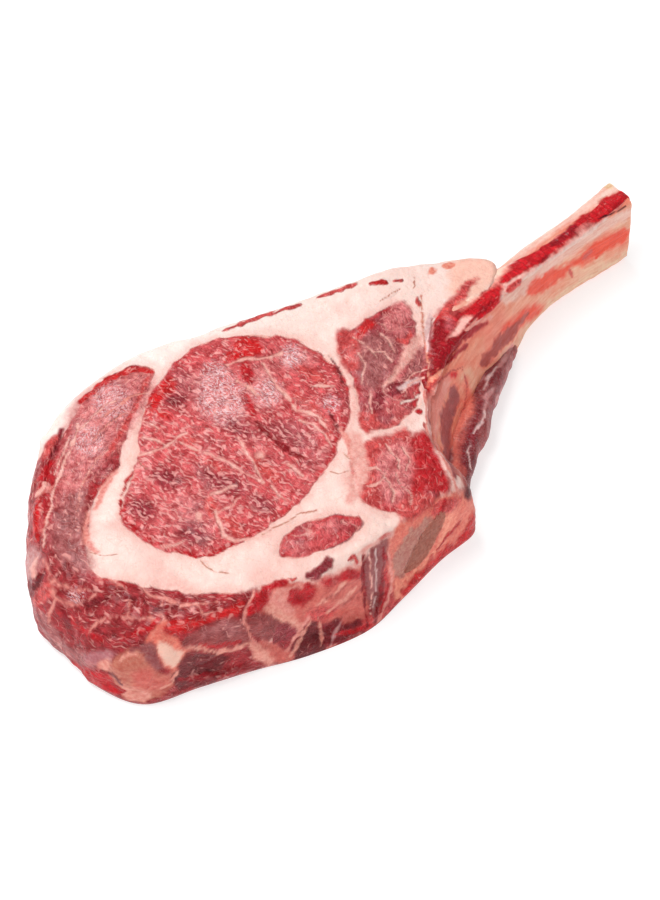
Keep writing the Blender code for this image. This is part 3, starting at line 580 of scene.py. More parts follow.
def curve_rows(rows, steps, closed):
    """Catmull-Rom curve through the rows: steps samples after each row, all columns alike."""
    rows = np.array(rows, float)
    if not closed:
        first, last = 2 * rows[0] - rows[1], 2 * rows[-1] - rows[-2]
        padded = np.vstack([first, rows, last])
        before, start, end, after = padded[:-3], padded[1:-2], padded[2:-1], padded[3:]
    else:
        before, start = np.roll(rows, 1, axis=0), rows
        end, after = np.roll(rows, -1, axis=0), np.roll(rows, -2, axis=0)
    u = np.linspace(0.0, 1.0, steps, endpoint=False)[None, :, None]
    before, start, end, after = (p[:, None, :] for p in (before, start, end, after))
    curve = 0.5 * (2 * start + (end - before) * u
                   + (2 * before - 5 * start + 4 * end - after) * u ** 2
                   + (3 * start - before - 3 * end + after) * u ** 3)
    curve = curve.reshape(-1, rows.shape[1])
    return curve if closed else np.vstack([curve, rows[-1]])


def evenly(points, count):
    """Closed run of rows, set out again at equal steps along their first two columns."""
    loop = np.vstack([points, points[:1]])
    run = np.concatenate([[0.0], np.cumsum(np.hypot(*np.diff(loop[:, :2], axis=0).T))])
    at = np.linspace(0.0, run[-1], count, endpoint=False)
    return np.stack([np.interp(at, run, column) for column in loop.T], axis=1)


def seen(points):
    """Where the camera sees each point: across and down the picture, in pixels."""
    ray = points - (TARGET + BACK * DISTANCE)
    scale = PIXELS_PER_MM * DISTANCE / -(ray @ BACK)
    return MIDDLE[0] + scale * (ray @ ACROSS), MIDDLE[1] - scale * (ray @ UPWARD)


def beyond_line(u, v, line, width):
    """Distance past the edge of a line whose width thins to 0.6 at both ends."""
    line = np.array(line, float)
    lengths = np.hypot(*np.diff(line, axis=0).T)
    run = np.concatenate([[0.0], np.cumsum(lengths)]) / lengths.sum()
    best = np.full(u.shape, np.inf)
    for (x0, y0), (x1, y1), r0, r1 in zip(line, line[1:], run, run[1:]):
        dx, dy = x1 - x0, y1 - y0
        t = np.clip(((u - x0) * dx + (v - y0) * dy) / (dx * dx + dy * dy), 0.0, 1.0)
        gap = np.hypot(u - x0 - t * dx, v - y0 - t * dy)
        along = r0 + (r1 - r0) * t
        best = np.minimum(best, gap - 0.5 * width * (1.0 - 0.4 * (2.0 * along - 1.0) ** 2))
    return best


def within_outline(x, y, outline):
    """Distance inside a closed outline, negative outside: nearest edge, signed by crossings."""
    best = np.full(x.shape, np.inf)
    inside = np.zeros(x.shape, bool)
    for (x0, y0), (x1, y1) in zip(outline, np.roll(outline, -1, axis=0)):
        dx, dy = x1 - x0, y1 - y0
        t = np.clip(((x - x0) * dx + (y - y0) * dy) / (dx * dx + dy * dy), 0.0, 1.0)
        best = np.minimum(best, np.hypot(x - x0 - t * dx, y - y0 - t * dy))
        if dy:
            inside ^= ((y0 > y) != (y1 > y)) & (x < x0 + (y - y0) / dy * dx)
    return np.where(inside, best, -best)


def border_wander(points):
    """How far, in millimetres, the border between lean and fat strays from its smooth outline."""
    return 1.3 * bumps(points, 6.5, 16) + 0.9 * bumps(points, 2.6, 17)


def face_height(x, y):
    """Upper cut face: level but for low, broad waves."""
    return THICK + WAVE * (np.sin(x / 19.0 + 1.0) * np.cos(y / 15.0) + 0.6 * np.sin((x - y) / 11.0))


def muscle_outlines():
    """Each muscle's outline, finely stepped and made uneven by up to 1 mm."""
    outlines = {}
    for seed, (name, rows) in enumerate((
            ("eye", EYE), ("cap", CAP), ("rib_side", RIB_SIDE), ("chine_side", CHINE_SIDE),
            ("inner", INNER), ("lower", LOWER))):
        points = curve_rows(rows, 16, closed=True)
        flat = np.column_stack([points, np.zeros(len(points))])
        for size, height in ((9.0, 0.55), (3.2, 0.4)):
            points = points + height * np.stack(
                [bumps(flat, size, 40 + seed), bumps(flat, size, 60 + seed)], axis=1)
        outlines[name] = points
    return outlines


OUTLINES = muscle_outlines()


def slab_rings():
    """Side of the slab from its foot to the upper rim, as rows of rings.

    Below the waist the side curves out to its foot, where it tucks under; above the waist it
    turns over the shoulder along a superellipse whose squareness falls with its width.
    """
    x, y, foot, waist, shoulder, aim = evenly(curve_rows(SIDE, 24, closed=True), 4 * CELLS).T
    reach = np.hypot(aim - x, SPINE_Y - y)
    dx, dy = (aim - x) / reach, (SPINE_Y - y) / reach
    rings = []
    for share in np.linspace(0.0, 1.0, FOOT_ROWS, endpoint=False):
        z = np.full_like(x, FOOT_ROUND * share)
        out = foot * (1.0 - z / waist) ** 1.5 - FOOT_TUCK * (1.0 - share) ** 2
        rings.append(np.stack([x - dx * out, y - dy * out, z], axis=1))
    for share in np.linspace(0.0, 1.0, WALL_ROWS, endpoint=False):
        z = FOOT_ROUND + (waist - FOOT_ROUND) * share
        out = foot * (1.0 - z / waist) ** 1.5
        rings.append(np.stack([x - dx * out, y - dy * out, z], axis=1))
    square = SQUARE_EDGE - SQUARE_LOSS * shoulder
    share = np.linspace(0.0, 1.0, SHOULDER_ROWS + 1)
    for turn in 0.5 * math.pi * share ** 1.4 / (share ** 1.4 + (1.0 - share) ** 1.4):
        draw_in = shoulder * (1.0 - abs(math.cos(turn)) ** (2.0 / square))
        lift = abs(math.sin(turn)) ** (2.0 / square)
        px, py = x + dx * draw_in, y + dy * draw_in
        z = waist + (face_height(px, py) - waist) * lift
        wave = 4.0 * WAVE * np.sin(px / 9.0) * np.cos(z / 8.0 + py / 13.0) * lift * (1.0 - lift)
        rings.append(np.stack([px - dx * wave, py - dy * wave, z], axis=1))
    return np.array(rings)


def disc_grid(rim):
    """Points of a square grid laid over a disc: its squares shrink from the rim to the centre.

    Returns the points' x and y, and for each its place round the rim, or -1 inside.
    """
    half = CELLS // 2
    column, row = np.meshgrid(np.arange(-half, half + 1), np.arange(-half, half + 1))
    ring = np.maximum(abs(column), abs(row))
    run = np.select(
        [(column == ring) & (row > -ring), row == ring, column == -ring],
        [row + ring, 3 * ring - column, 5 * ring - row], 7 * ring + column)
    around = np.where(ring > 0, run / np.maximum(8 * ring, 1), 0.0) % 1.0
    closed_rim = np.vstack([rim, rim[:1]])
    at = np.linspace(0.0, 1.0, len(closed_rim))
    share = ring / half
    x = FACE_CENTRE[0] + (np.interp(around, at, closed_rim[:, 0]) - FACE_CENTRE[0]) * share
    y = FACE_CENTRE[1] + (np.interp(around, at, closed_rim[:, 1]) - FACE_CENTRE[1]) * share
    return x, y, np.where(ring == half, run % len(rim), -1)


def ring_quads(rows, count):
    """Quads between neighbouring rings of count points each, rows rings in all."""
    i, j = np.meshgrid(np.arange(rows - 1), np.arange(count), indexing="ij")
    k = (j + 1) % count
    return np.stack([i * count + j, i * count + k, (i + 1) * count + k, (i + 1) * count + j],
                    axis=-1).reshape(-1, 4)


def grid_normals(points):
    """Outward unit normals of rings that climb anticlockwise: across times up."""
    along = np.roll(points, -1, axis=1) - np.roll(points, 1, axis=1)
    up = np.gradient(points, axis=0)
    normal = np.cross(along, up)
    return normal / np.maximum(np.linalg.norm(normal, axis=2), 1e-9)[..., None]


def relief(points, normals):
    """Height of the raw surface over the smooth one, in millimetres.

    Three sizes of bumps, two more on the sides, the placed ridges and creases where the camera
    sees them, the slanting grain of the cap muscle, and on the upper face a groove along each
    muscle's border and a slight swelling inside it.
    """
    height = (0.35 * bumps(points, 14.0, 1) + 0.28 * bumps(points, 5.5, 2)
              + 0.16 * bumps(points, 2.4, 3))
    side = 1.0 - ease(0.5, 0.85, normals[:, 2])
    height += side * (0.6 * bumps(points, 11.0, 4) + 0.35 * bumps(points, 4.5, 5))
    u, v = seen(points)
    faces = ease(0.0, 0.2, normals @ BACK)
    u = u + 2.5 * bumps(points, 6.0, 6)
    v = v + 2.5 * bumps(points, 6.0, 7)
    for tall, width, soft, line in RIDGES:
        height += tall * faces * ease(soft, -soft, beyond_line(u, v, line, width))
    cap = within_outline(points[:, 0], points[:, 1], OUTLINES["cap"][::3])
    grain = turned(points, 40.0) * np.array([0.45, 1.0, 1.0])
    height += ease(0.0, 5.0, cap) * (0.5 * bumps(grain, 2.6, 8) + 0.4 * bumps(grain, 5.0, 9))
    top = ease(0.6, 0.9, normals[:, 2])
    stray = border_wander(points)
    for outline in OUTLINES.values():
        inside = within_outline(points[:, 0], points[:, 1], outline[::3]) + stray
        height -= 0.25 * top * np.exp(-(inside / 1.2) ** 2)
        height += 0.55 * top * ease(0.0, 7.0, inside)
    return height


def slab_mesh():
    """Points and quads of the whole slab, relief included and the underside left flat."""
    rings = slab_rings()
    normals = grid_normals(rings)
    if (normals[len(rings) // 2, :, :2] * (rings[len(rings) // 2, :, :2] - FACE_CENTRE)).sum() < 0:
        normals = -normals
    upright = ease(0.94, 1.0, np.linspace(0.0, 1.0, len(rings)))[:, None, None]
    normals = normals * (1.0 - upright) + np.array([0.0, 0.0, 1.0]) * upright
    flat = rings.reshape(-1, 3)
    flat_normals = normals.reshape(-1, 3)
    lift = relief(flat, flat_normals) * ease(0.0, 5.0, flat[:, 2])
    wall = flat + flat_normals * lift[:, None]
    wall[:, 2] = np.maximum(wall[:, 2], 0.0)

    x, y, place = disc_grid(rings[-1])
    upper = np.stack([x, y, face_height(x, y)], axis=-1).reshape(-1, 3)
    upper[:, 2] += relief(upper, np.tile([0.0, 0.0, 1.0], (len(upper), 1)))
    bx, by, _ = disc_grid(rings[0])
    lower = np.stack([bx, by, np.zeros_like(bx)], axis=-1).reshape(-1, 3)

    count = 4 * CELLS
    place = place.reshape(-1)
    inner = place < 0
    top_index = np.where(inner, len(wall) + np.cumsum(inner) - 1,
                         (len(rings) - 1) * count + place)
    low_index = np.where(inner, len(wall) + inner.sum() + np.cumsum(inner) - 1, place)
    points = np.vstack([wall, upper[inner], lower[inner]])
    sides = ring_quads(len(rings), count)
    top_grid = top_index.reshape(x.shape)
    low_grid = low_index.reshape(x.shape)
    tops = np.stack([top_grid[:-1, :-1], top_grid[:-1, 1:], top_grid[1:, 1:], top_grid[1:, :-1]],
                    axis=-1).reshape(-1, 4)
    lows = np.stack([low_grid[:-1, :-1], low_grid[1:, :-1], low_grid[1:, 1:], low_grid[:-1, 1:]],
                    axis=-1).reshape(-1, 4)
    return points, np.vstack([sides, tops, lows])


def path_side(path):
    """Unit directions in plan, square to a path, on the hand that looks away from the meat."""
    step = np.gradient(path[:, :2], axis=0)
    step /= np.hypot(step[:, 0], step[:, 1])[:, None]
    return np.stack([-step[:, 1], step[:, 0]], axis=1)


def rib_sections():
    """Leaning blade sections along the rib: rectangles with rounded corners, finely stepped."""
    path = curve_rows(RIB, 20, closed=False)
    side = path_side(path)
    sections = []
    for (x, y, top, foot, lean, thick), (sx, sy) in zip(path, side):
        half, tall = 0.5 * thick, 0.5 * (top - foot)
        turn = np.linspace(0.0, 0.5 * math.pi, 7)
        across, up = [], []
        for quarter, (mx, my) in enumerate(((1, 1), (-1, 1), (-1, -1), (1, -1))):
            angle = turn + 0.5 * math.pi * quarter
            across.append(mx * (half - RIB_CORNER) + RIB_CORNER * np.cos(angle))
            up.append(my * (tall - RIB_CORNER) + RIB_CORNER * np.sin(angle))
        ring = evenly(np.column_stack([np.concatenate(across), np.concatenate(up)]), 120)
        level = 0.5 * (top + foot) + ring[:, 1]
        out = ring[:, 0] - half + lean * (1.0 - (level - foot) / (top - foot))
        sections.append(np.stack([x + sx * out, y + sy * out, level], axis=1))
    return np.array(sections)


def strip_sections(stations, sides, square, depth=None):
    """Rounded strip sections along a path: superellipses of each station's width and height."""
    path = curve_rows(stations, 24, closed=False)
    side = path_side(path)
    turn = np.linspace(0.0, 2 * math.pi, sides, endpoint=False)
    c, s = np.cos(turn), np.sin(turn)
    across = np.sign(c) * abs(c) ** (2 / square)
    up = np.sign(s) * abs(s) ** (2 / square)
    sections = []
    for (x, y, width, top), (sx, sy) in zip(path, side):
        tall = 0.5 * (depth if depth else top)
        out = across * 0.5 * width
        sections.append(np.stack([x + sx * out, y + sy * out, top - tall + tall * up], axis=1))
    return np.array(sections)


def closed_loft(sections, grow):
    """Points and faces through ring sections, raised by grow(points, normals) and capped.

    Each end is closed by rings that shrink to its middle and a fan round the last point.
    """
    normals = grid_normals(sections)
    middle = sections.mean(axis=1, keepdims=True)
    if (normals * (sections - middle)).sum() < 0:
        normals = -normals
    flat, flat_normals = sections.reshape(-1, 3), normals.reshape(-1, 3)
    raised = (flat + flat_normals * grow(flat, flat_normals)[:, None]).reshape(sections.shape)
    shares = (0.94, 0.84, 0.7, 0.54, 0.36, 0.18)
    start = [middle[0] + (raised[0] - middle[0]) * share for share in shares[::-1]]
    end = [middle[-1] + (raised[-1] - middle[-1]) * share for share in shares]
    rows = np.array(start + list(raised) + end)
    count = rows.shape[1]
    points = np.vstack([rows.reshape(-1, 3), middle[0], middle[-1]])
    quads = ring_quads(len(rows), count)
    ring = np.arange(count)
    last = (len(rows) - 1) * count
    first_fan = np.stack([np.full(count, len(points) - 2), np.roll(ring, -1), ring], axis=1)
    last_fan = np.stack([np.full(count, len(points) - 1), last + ring, last + np.roll(ring, -1)],
                        axis=1)
    points[:, 2] = np.maximum(points[:, 2], 0.0)
    return points, quads.tolist() + first_fan.tolist() + last_fan.tolist()


def prism(outline, low, high):
    """Points and faces of an upright column on a closed outline."""
    count = len(outline)
    if np.sum(outline[:, 0] * np.roll(outline[:, 1], -1)
              - np.roll(outline[:, 0], -1) * outline[:, 1]) < 0:
        outline = outline[::-1]
    points = np.vstack([np.column_stack([outline, np.full(count, low)]),
                        np.column_stack([outline, np.full(count, high)])])
    ring = np.arange(count)
    after = np.roll(ring, -1)
    sides = np.stack([ring, after, after + count, ring + count], axis=1).tolist()
    return points, sides + [ring[::-1].tolist(), (ring + count).tolist()]


def chine_plug():
    """Points and faces of the oval plug that the sawn vertebra's face fills: a tilted cylinder."""
    turn = np.linspace(0.0, 2 * math.pi, 96, endpoint=False)
    wobble = 1.0 + 0.04 * np.sin(3 * turn + 1) + 0.03 * np.sin(5 * turn)
    tilt, facing = math.radians(CHINE_TILT), math.radians(CHINE_FACING)
    long_way, short_way = 0.5 * CHINE_SIZE[0], 0.5 * CHINE_SIZE[1]
    a, b = long_way * np.cos(turn) * wobble, short_way * np.sin(turn) * wobble
    across = a * math.cos(tilt) - b * math.sin(tilt)
    up = a * math.sin(tilt) + b * math.cos(tilt)
    out = np.array([math.sin(facing), -math.cos(facing), 0.0])
    along = np.array([math.cos(facing), math.sin(facing), 0.0])
    ring = np.array(CHINE_AT) + across[:, None] * along + up[:, None] * np.array([0.0, 0.0, 1.0])
    points = np.vstack([ring - out * CHINE_DEEP, ring + out * CHINE_PROUD])
    count = len(turn)
    ring = np.arange(count)
    after = np.roll(ring, -1)
    sides = np.stack([ring, ring + count, after + count, after], axis=1).tolist()
    return points, sides + [ring.tolist(), (ring + count)[::-1].tolist()]


OUTER, CUT = 0, 1


def solid(name, points, faces):
    """Object from points in the drawing frame and faces."""
    mesh = bpy.data.meshes.new(name)
    mesh.materials.append(None)
    mesh.materials.append(None)
    mesh.from_pydata(((points + STEAK_AT) * MM).tolist(), [],
                     faces if isinstance(faces, list) else faces.tolist())
    mesh.validate()
    mesh.update()
    thing = bpy.data.objects.new(name, mesh)
    bpy.context.scene.collection.objects.link(thing)
    return thing


def carve(source, name, steps):
    """New object: the source after Boolean steps, each an operation and its tool.

    Faces of the source have material index 0 and faces that a tool leaves have 1.
    """
    thing = bpy.data.objects.new(name, source.data.copy())
    bpy.context.scene.collection.objects.link(thing)
    thing.data.polygons.foreach_set("material_index", [OUTER] * len(thing.data.polygons))
    for operation, tool in steps:
        tool.data.polygons.foreach_set("material_index", [CUT] * len(tool.data.polygons))
        step = thing.modifiers.new(tool.name, "BOOLEAN")
        step.operation = operation
        step.solver = "MANIFOLD"
        step.object = tool
    graph = bpy.context.evaluated_depsgraph_get()
    mesh = bpy.data.meshes.new_from_object(thing.evaluated_get(graph))
    thing.modifiers.clear()
    thing.data = mesh
    return thing


def mesh_arrays(thing):
    """The piece's points in the drawing frame and their unit normals.

    A normal is the sum of the area-weighted normals of the point's outer faces, or of its cut
    faces where it has no outer one.
    """
    mesh = thing.data
    mesh.calc_loop_triangles()
    points = np.empty(len(mesh.vertices) * 3)
    mesh.vertices.foreach_get("co", points)
    points = points.reshape(-1, 3) / MM - STEAK_AT
    corners = np.empty(len(mesh.loop_triangles) * 3, int)
    mesh.loop_triangles.foreach_get("vertices", corners)
    corners = corners.reshape(-1, 3)
    kind = np.empty(len(mesh.loop_triangles), int)
    mesh.loop_triangles.foreach_get("material_index", kind)
    a, b, c = (points[corners[:, i]] for i in range(3))
    area = np.cross(b - a, c - a) * np.where(kind == OUTER, 1.0, 1e-6)[:, None]
    normals = np.zeros_like(points)
    for i in range(3):
        for axis in range(3):
            normals[:, axis] += np.bincount(corners[:, i], area[:, axis], len(points))
    length = np.linalg.norm(normals, axis=1)
    return points, normals / np.maximum(length, 1e-12)[:, None]


class Paint:
    """Colour, leanness and painted sheen of every point of a piece, laid in layers."""

    def __init__(self, thing, base, light):
        self.thing = thing
        self.points, self.normals = mesh_arrays(thing)
        self.facing = ease(0.02, 0.16, self.normals @ BACK)
        self.light = light[0] + (light[1] - light[0]) * ease(0.2, 0.85, self.normals[:, 2])
        u, v = seen(self.points)
        self.u = u + 1.3 * bumps(self.points, 5.0, 11) + 0.7 * bumps(self.points, 2.0, 12)
        self.v = v + 1.2 * bumps(self.points, 5.0, 13) + 0.6 * bumps(self.points, 2.0, 14)
        rgb, lean = PALETTE[base]
        self.colour = np.tile(linear(rgb), (len(self.points), 1))
        self.lean = np.full(len(self.points), lean)
        self.fleck = np.zeros(len(self.points))

    def lay(self, name, weight):
        """Moves colour and leanness towards a palette entry by a weight for each point."""
        rgb, lean = PALETTE[name]
        weight = np.clip(weight, 0.0, 1.0)
        self.colour += weight[:, None] * (linear(rgb) - self.colour)
        self.lean += weight * (lean - self.lean)

    def mottle(self, name, size, seed, low, high, strength=1.0):
        """Patches of a colour where bumps of that size rise past low, full at high."""
        self.lay(name, strength * ease(low, high, bumps(self.points, size, seed)))

    def veins(self, name, size, seed, width, strength=1.0):
        """Winding lines where bumps of that size pass through zero."""
        broad, fine = bumps(self.points, size, seed), bumps(self.points, 0.4 * size, seed + 1)
        level = abs(broad + 0.25 * fine)
        self.lay(name, strength * ease(width, 0.35 * width, level))

    def border(self, name, outside):
        """Lays the colour of the far side of a muscle's border where the border strays over."""
        inside = within_outline(self.points[:, 0], self.points[:, 1], OUTLINES[name][::3])
        inside += border_wander(self.points)
        side = 1.0 - ease(0.35, 0.8, self.normals[:, 2])
        inside += 5.0 * side * (1.0 - self.facing) * bumps(self.points, 12.0, 24)
        if outside:
            self.lay("pink", 0.45 * ease(-6.0, -0.5, inside))
            self.lay(outside, ease(-0.45, 0.45, inside))
        else:
            self.lay("blood", 0.75 * ease(3.2, 0.8, inside)
                     * ease(-0.3, 0.4, bumps(self.points, 9.0, 23)))
            self.lay("pink", ease(0.45, -0.45, inside))

    def near(self, places, reach):
        """Indices of the points that the camera sees within reach of some places."""
        (u0, v0), (u1, v1) = np.min(places, axis=0) - reach, np.max(places, axis=0) + reach
        return np.flatnonzero((self.facing > 0.0) & (self.u > u0) & (self.u < u1)
                              & (self.v > v0) & (self.v < v1))

    def lay_seen(self, name, near, weight):
        """Lays a colour on some points, where the surface faces the camera."""
        whole = np.zeros(len(self.points))
        whole[near] = weight
        self.lay(name, whole * self.facing)

    def areas(self):
        """Fills the placed areas."""
        ragged = 2.0 * bumps(self.points, 3.0, 18) + 1.5 * bumps(self.points, 1.5, 19)
        for name, soft, outline in AREAS:
            near = self.near(outline, 6.0)
            inside = within_outline(self.u[near], self.v[near],
                                    curve_rows(outline, 4, closed=True)) + ragged[near]
            self.lay_seen(name, near, ease(-0.7 * soft, 0.7 * soft, inside))

    def marks(self):
        """Draws the placed lines."""
        ragged = 1.5 * bumps(self.points, 2.2, 15)
        for name, width, soft, line in LINES:
            near = self.near(line, width + 4.0)
            edge = beyond_line(self.u[near], self.v[near], line, width)
            edge += ragged[near] * min(1.0, 0.28 * width)
            self.lay_seen(name, near, ease(0.5 * soft, -0.5 * soft, edge))

    def spots(self):
        """Lays the placed ovals."""
        for name, u, v, half_u, half_v, turn, soft in SPOTS:
            near = self.near([(u, v)], max(half_u, half_v) + soft)
            c, s = math.cos(math.radians(turn)), math.sin(math.radians(turn))
            across, down = self.u[near] - u, self.v[near] - v
            size = np.hypot((across * c + down * s) / half_u, (down * c - across * s) / half_v)
            self.lay_seen(name, near, ease(soft, -soft, (size - 1.0) * min(half_u, half_v)))

    def glints(self, places, most):
        """Painted sheen of soft discs, each a middle as seen, an outer and an inner radius."""
        sheen = 0.0
        for u, v, outer, inner in places:
            sheen = sheen + ease(outer, inner, np.hypot(self.u - u, self.v - v))
        return np.clip(sheen, 0.0, most) * self.facing

    def finish(self, flow, sheen=0.0):
        """Writes the attributes that the material reads; sheen is painted sheen, a pale speckle
        laid into the lean's colour.
        """
        mesh = self.thing.data
        colour = np.clip(self.colour / self.light[:, None], 0.0, 0.95)
        tint = mesh.attributes.new("tint", "FLOAT_COLOR", "POINT")
        tint.data.foreach_set("color", np.column_stack([colour, np.ones(len(colour))]).ravel())
        lean = mesh.attributes.new("lean", "FLOAT", "POINT")
        lean.data.foreach_set("value", self.lean)
        painted_sheen = mesh.attributes.new("painted_sheen", "FLOAT", "POINT")
        painted_sheen.data.foreach_set("value", np.zeros(len(colour)) + sheen)
        marbling = mesh.attributes.new("marbling", "FLOAT", "POINT")
        marbling.data.foreach_set("value", self.fleck)
        run = mesh.attributes.new("flow", "FLOAT_VECTOR", "POINT")
        run.data.foreach_set("vector", flow.ravel())


class Graph:
    """Shorthand for building a material's nodes."""

    def __init__(self, name):
        self.material = bpy.data.materials.new(name)
        self.material.use_nodes = True
        self.tree = self.material.node_tree
        self.shader = self.tree.nodes["Principled BSDF"]

    def node(self, kind, inputs=(), **settings):
        made = self.tree.nodes.new("ShaderNode" + kind)
        for key, value in settings.items():
            setattr(made, key, value)
        for key, value in dict(inputs).items():
            self.put(made.inputs[key], value)
        return made

    def put(self, socket, value):
        if isinstance(value, bpy.types.NodeSocket):
            self.tree.links.new(value, socket)
        else:
            socket.default_value = value

    def read(self, name, part):
        return self.node("Attribute", attribute_name=name).outputs[part]

    def maths(self, operation, a, b=0.0, c=0.0):
        return self.node("Math", {0: a, 1: b, 2: c}, operation=operation).outputs[0]

    def ramp(self, value, low, high, to_low=0.0, to_high=1.0):
        made = self.node("MapRange", {"Value": value, "From Min": low, "From Max": high,
                                      "To Min": to_low, "To Max": to_high},
                         interpolation_type="SMOOTHSTEP")
        return made.outputs["Result"]

    def mix(self, share, a, b, blend="MIX"):
        made = self.node("Mix", data_type="RGBA", blend_type=blend)
        for socket, value in ((made.inputs[0], share), (made.inputs[6], a), (made.inputs[7], b)):
            self.put(socket, value)
        return made.outputs[2]

    def noise(self, place, size, detail=2.0, rough=0.5, warp=0.0):
        return self.node("TexNoise", {"Vector": place, "Scale": 1.0 / size, "Detail": detail,
                                      "Roughness": rough, "Distortion": warp}).outputs["Fac"]

    def stretched(self, place, sizes):
        """Coordinates divided by the cell sizes."""
        return self.node("Mapping", {"Vector": place, "Scale": sizes},
                         vector_type="TEXTURE").outputs[0]

    def shade(self, values):
        """Values or links for the shader's own sockets, by name."""
        for name, value in values.items():
            self.put(self.shader.inputs[name], value)


UNDER_SKIN = 0.002                 # how far light spreads below the surface, in metres


def meat_material(name, fleck, amount, hair, bundle, seams, net_share=0.65, detail=2.0,
                  fleck_rgb=(246, 170, 162), wet=0.2):
    """Marbled lean and waxy fat, told apart by the leanness of each point.

    Flecks of fat are stretched noise past a threshold, hairlines are noise near its middle
    value, and fat also fills the seams between bundles, cells stretched along the grain, where
    a broad noise opens them, to a share of net_share. All follow the grain. Lean is fibrous and
    wet; fat is smooth and waxy, and where its laid colour is dark it is mottled like thin film.
    """
    g = Graph(name)
    flow = g.read("flow", "Vector")
    tint = g.read("tint", "Color")
    lean = g.read("lean", "Fac")
    painted_sheen = g.read("painted_sheen", "Fac")
    wander = g.node("TexNoise", {"Vector": flow, "Scale": 0.16, "Detail": 1.0}).outputs["Color"]
    bent = g.node("VectorMath", {0: wander, 1: (5.0, 5.0, 5.0), 2: flow},
                  operation="MULTIPLY_ADD").outputs[0]
    grain = g.stretched(bent, fleck)
    marbling = g.read("marbling", "Fac")
    flecks = g.ramp(g.maths("MULTIPLY_ADD", marbling, 0.06, g.noise(grain, 1.0, detail, 0.5)),
                    amount, amount + 0.16)
    bundles = g.node("TexVoronoi", {"Vector": g.stretched(bent, bundle), "Scale": 1.0},
                     feature="DISTANCE_TO_EDGE").outputs["Distance"]
    seam = g.ramp(g.maths("MULTIPLY_ADD", marbling, 0.05, g.noise(flow, 4.0, 2.0, 0.6)),
                  0.46, 0.7, 0.004, seams)
    net = g.ramp(g.maths("DIVIDE", bundles, seam), 1.0, 0.1)
    level = g.maths("ABSOLUTE", g.maths("SUBTRACT", g.noise(
        g.stretched(bent, tuple(2.2 * size for size in fleck)), 1.0, 2.0, 0.6), 0.5))
    hairs = g.ramp(level, 0.022, 0.006)
    fat = g.maths("MAXIMUM", g.maths("MULTIPLY", flecks, 0.8), g.maths("MULTIPLY", net, net_share))
    fat = g.maths("MAXIMUM", fat, g.maths("MULTIPLY", hairs, hair))
    fat = g.maths("MULTIPLY", fat, lean)
    fibre = g.noise(g.stretched(bent, (0.45, 2.6, 0.6)), 1.0, 2.0, 0.6)
    dots = g.noise(g.stretched(bent, (0.5, 1.3, 0.7)), 1.0, 2.0, 0.6)
    tone = g.ramp(g.noise(flow, 3.4, 3.0, 0.6), 0.3, 0.7)
    red = g.mix(1.0, tint, g.mix(tone, (0.68, 0.5, 0.52, 1.0), (1.28, 1.75, 1.7, 1.0)), "MULTIPLY")
    red = g.mix(g.ramp(fibre, 0.32, 0.7, 0.0, 0.75), g.mix(
        1.0, red, (0.72, 0.5, 0.52, 1.0), "MULTIPLY"), red)
    fleck_colour = (*linear(fleck_rgb), 1.0)
    red = g.mix(g.maths("MULTIPLY", fat, 0.78), red, fleck_colour)
    # painted highlight: a pale speckle laid into the lean's colour where the painted sheen is
    painted_sparkle = g.maths("MULTIPLY", g.ramp(dots, 0.42, 0.68), painted_sheen)
    red = g.mix(g.maths("MULTIPLY", painted_sparkle, lean), red, (*linear((242, 212, 216)), 1.0))
    lobes = g.noise(flow, 7.0, 3.0, 0.55)
    threads = g.ramp(g.maths("ABSOLUTE", g.maths("SUBTRACT", g.noise(flow, 9.0, 4.0, 0.6), 0.5)),
                     0.012, 0.0)
    pale = g.mix(1.0, tint, g.mix(lobes, (0.93, 0.86, 0.85, 1.0), (1.06, 1.1, 1.1, 1.0)),
                 "MULTIPLY")
    pale = g.mix(g.maths("MULTIPLY", threads, 0.3), pale, (*linear((214, 150, 130)), 1.0))
    green = g.node("SeparateColor", {"Color": tint}).outputs["Green"]
    film = g.mix(g.ramp(g.noise(flow, 1.6, 4.0, 0.65), 0.3, 0.7), (0.88, 0.66, 0.66, 1.0),
                 (1.07, 1.25, 1.22, 1.0))
    pale = g.mix(g.ramp(green, 0.6, 0.25), pale, g.mix(1.0, pale, film, "MULTIPLY"))
    g.put(g.shader.inputs["Base Color"], g.mix(lean, pale, red))
    rough_lean = g.ramp(g.noise(flow, 2.2, 2.0, 0.6), 0.3, 0.7, 0.26, 0.48)
    g.put(g.shader.inputs["Roughness"],
          g.node("Mix", {0: lean, 2: 0.46, 3: rough_lean}, data_type="FLOAT").outputs[0])
    swell = g.maths("MULTIPLY", g.ramp(bundles, 0.0, 0.3), lean)
    height = g.maths("ADD", g.maths("MULTIPLY", g.maths("MULTIPLY", fibre, lean), 0.5),
                     g.maths("MULTIPLY", g.noise(flow, 1.8, 3.0, 0.6), 0.6))
    height = g.maths("MULTIPLY_ADD", dots, g.maths("MULTIPLY", lean, 0.35), height)
    height = g.maths("MULTIPLY_ADD", swell, 0.45, height)
    height = g.maths("ADD", height, g.maths("MULTIPLY", fat, 0.2))
    bump = g.node("Bump", {"Height": height, "Strength": 0.8, "Distance": 0.0012})
    g.shade({"Normal": bump.outputs[0], "Specular IOR Level": 0.12, "Coat Weight": wet,
             "Coat Roughness": 0.12, "Subsurface Weight": 0.12,
             "Subsurface Radius": (1.0, 0.35, 0.25), "Subsurface Scale": UNDER_SKIN})
    return g.material


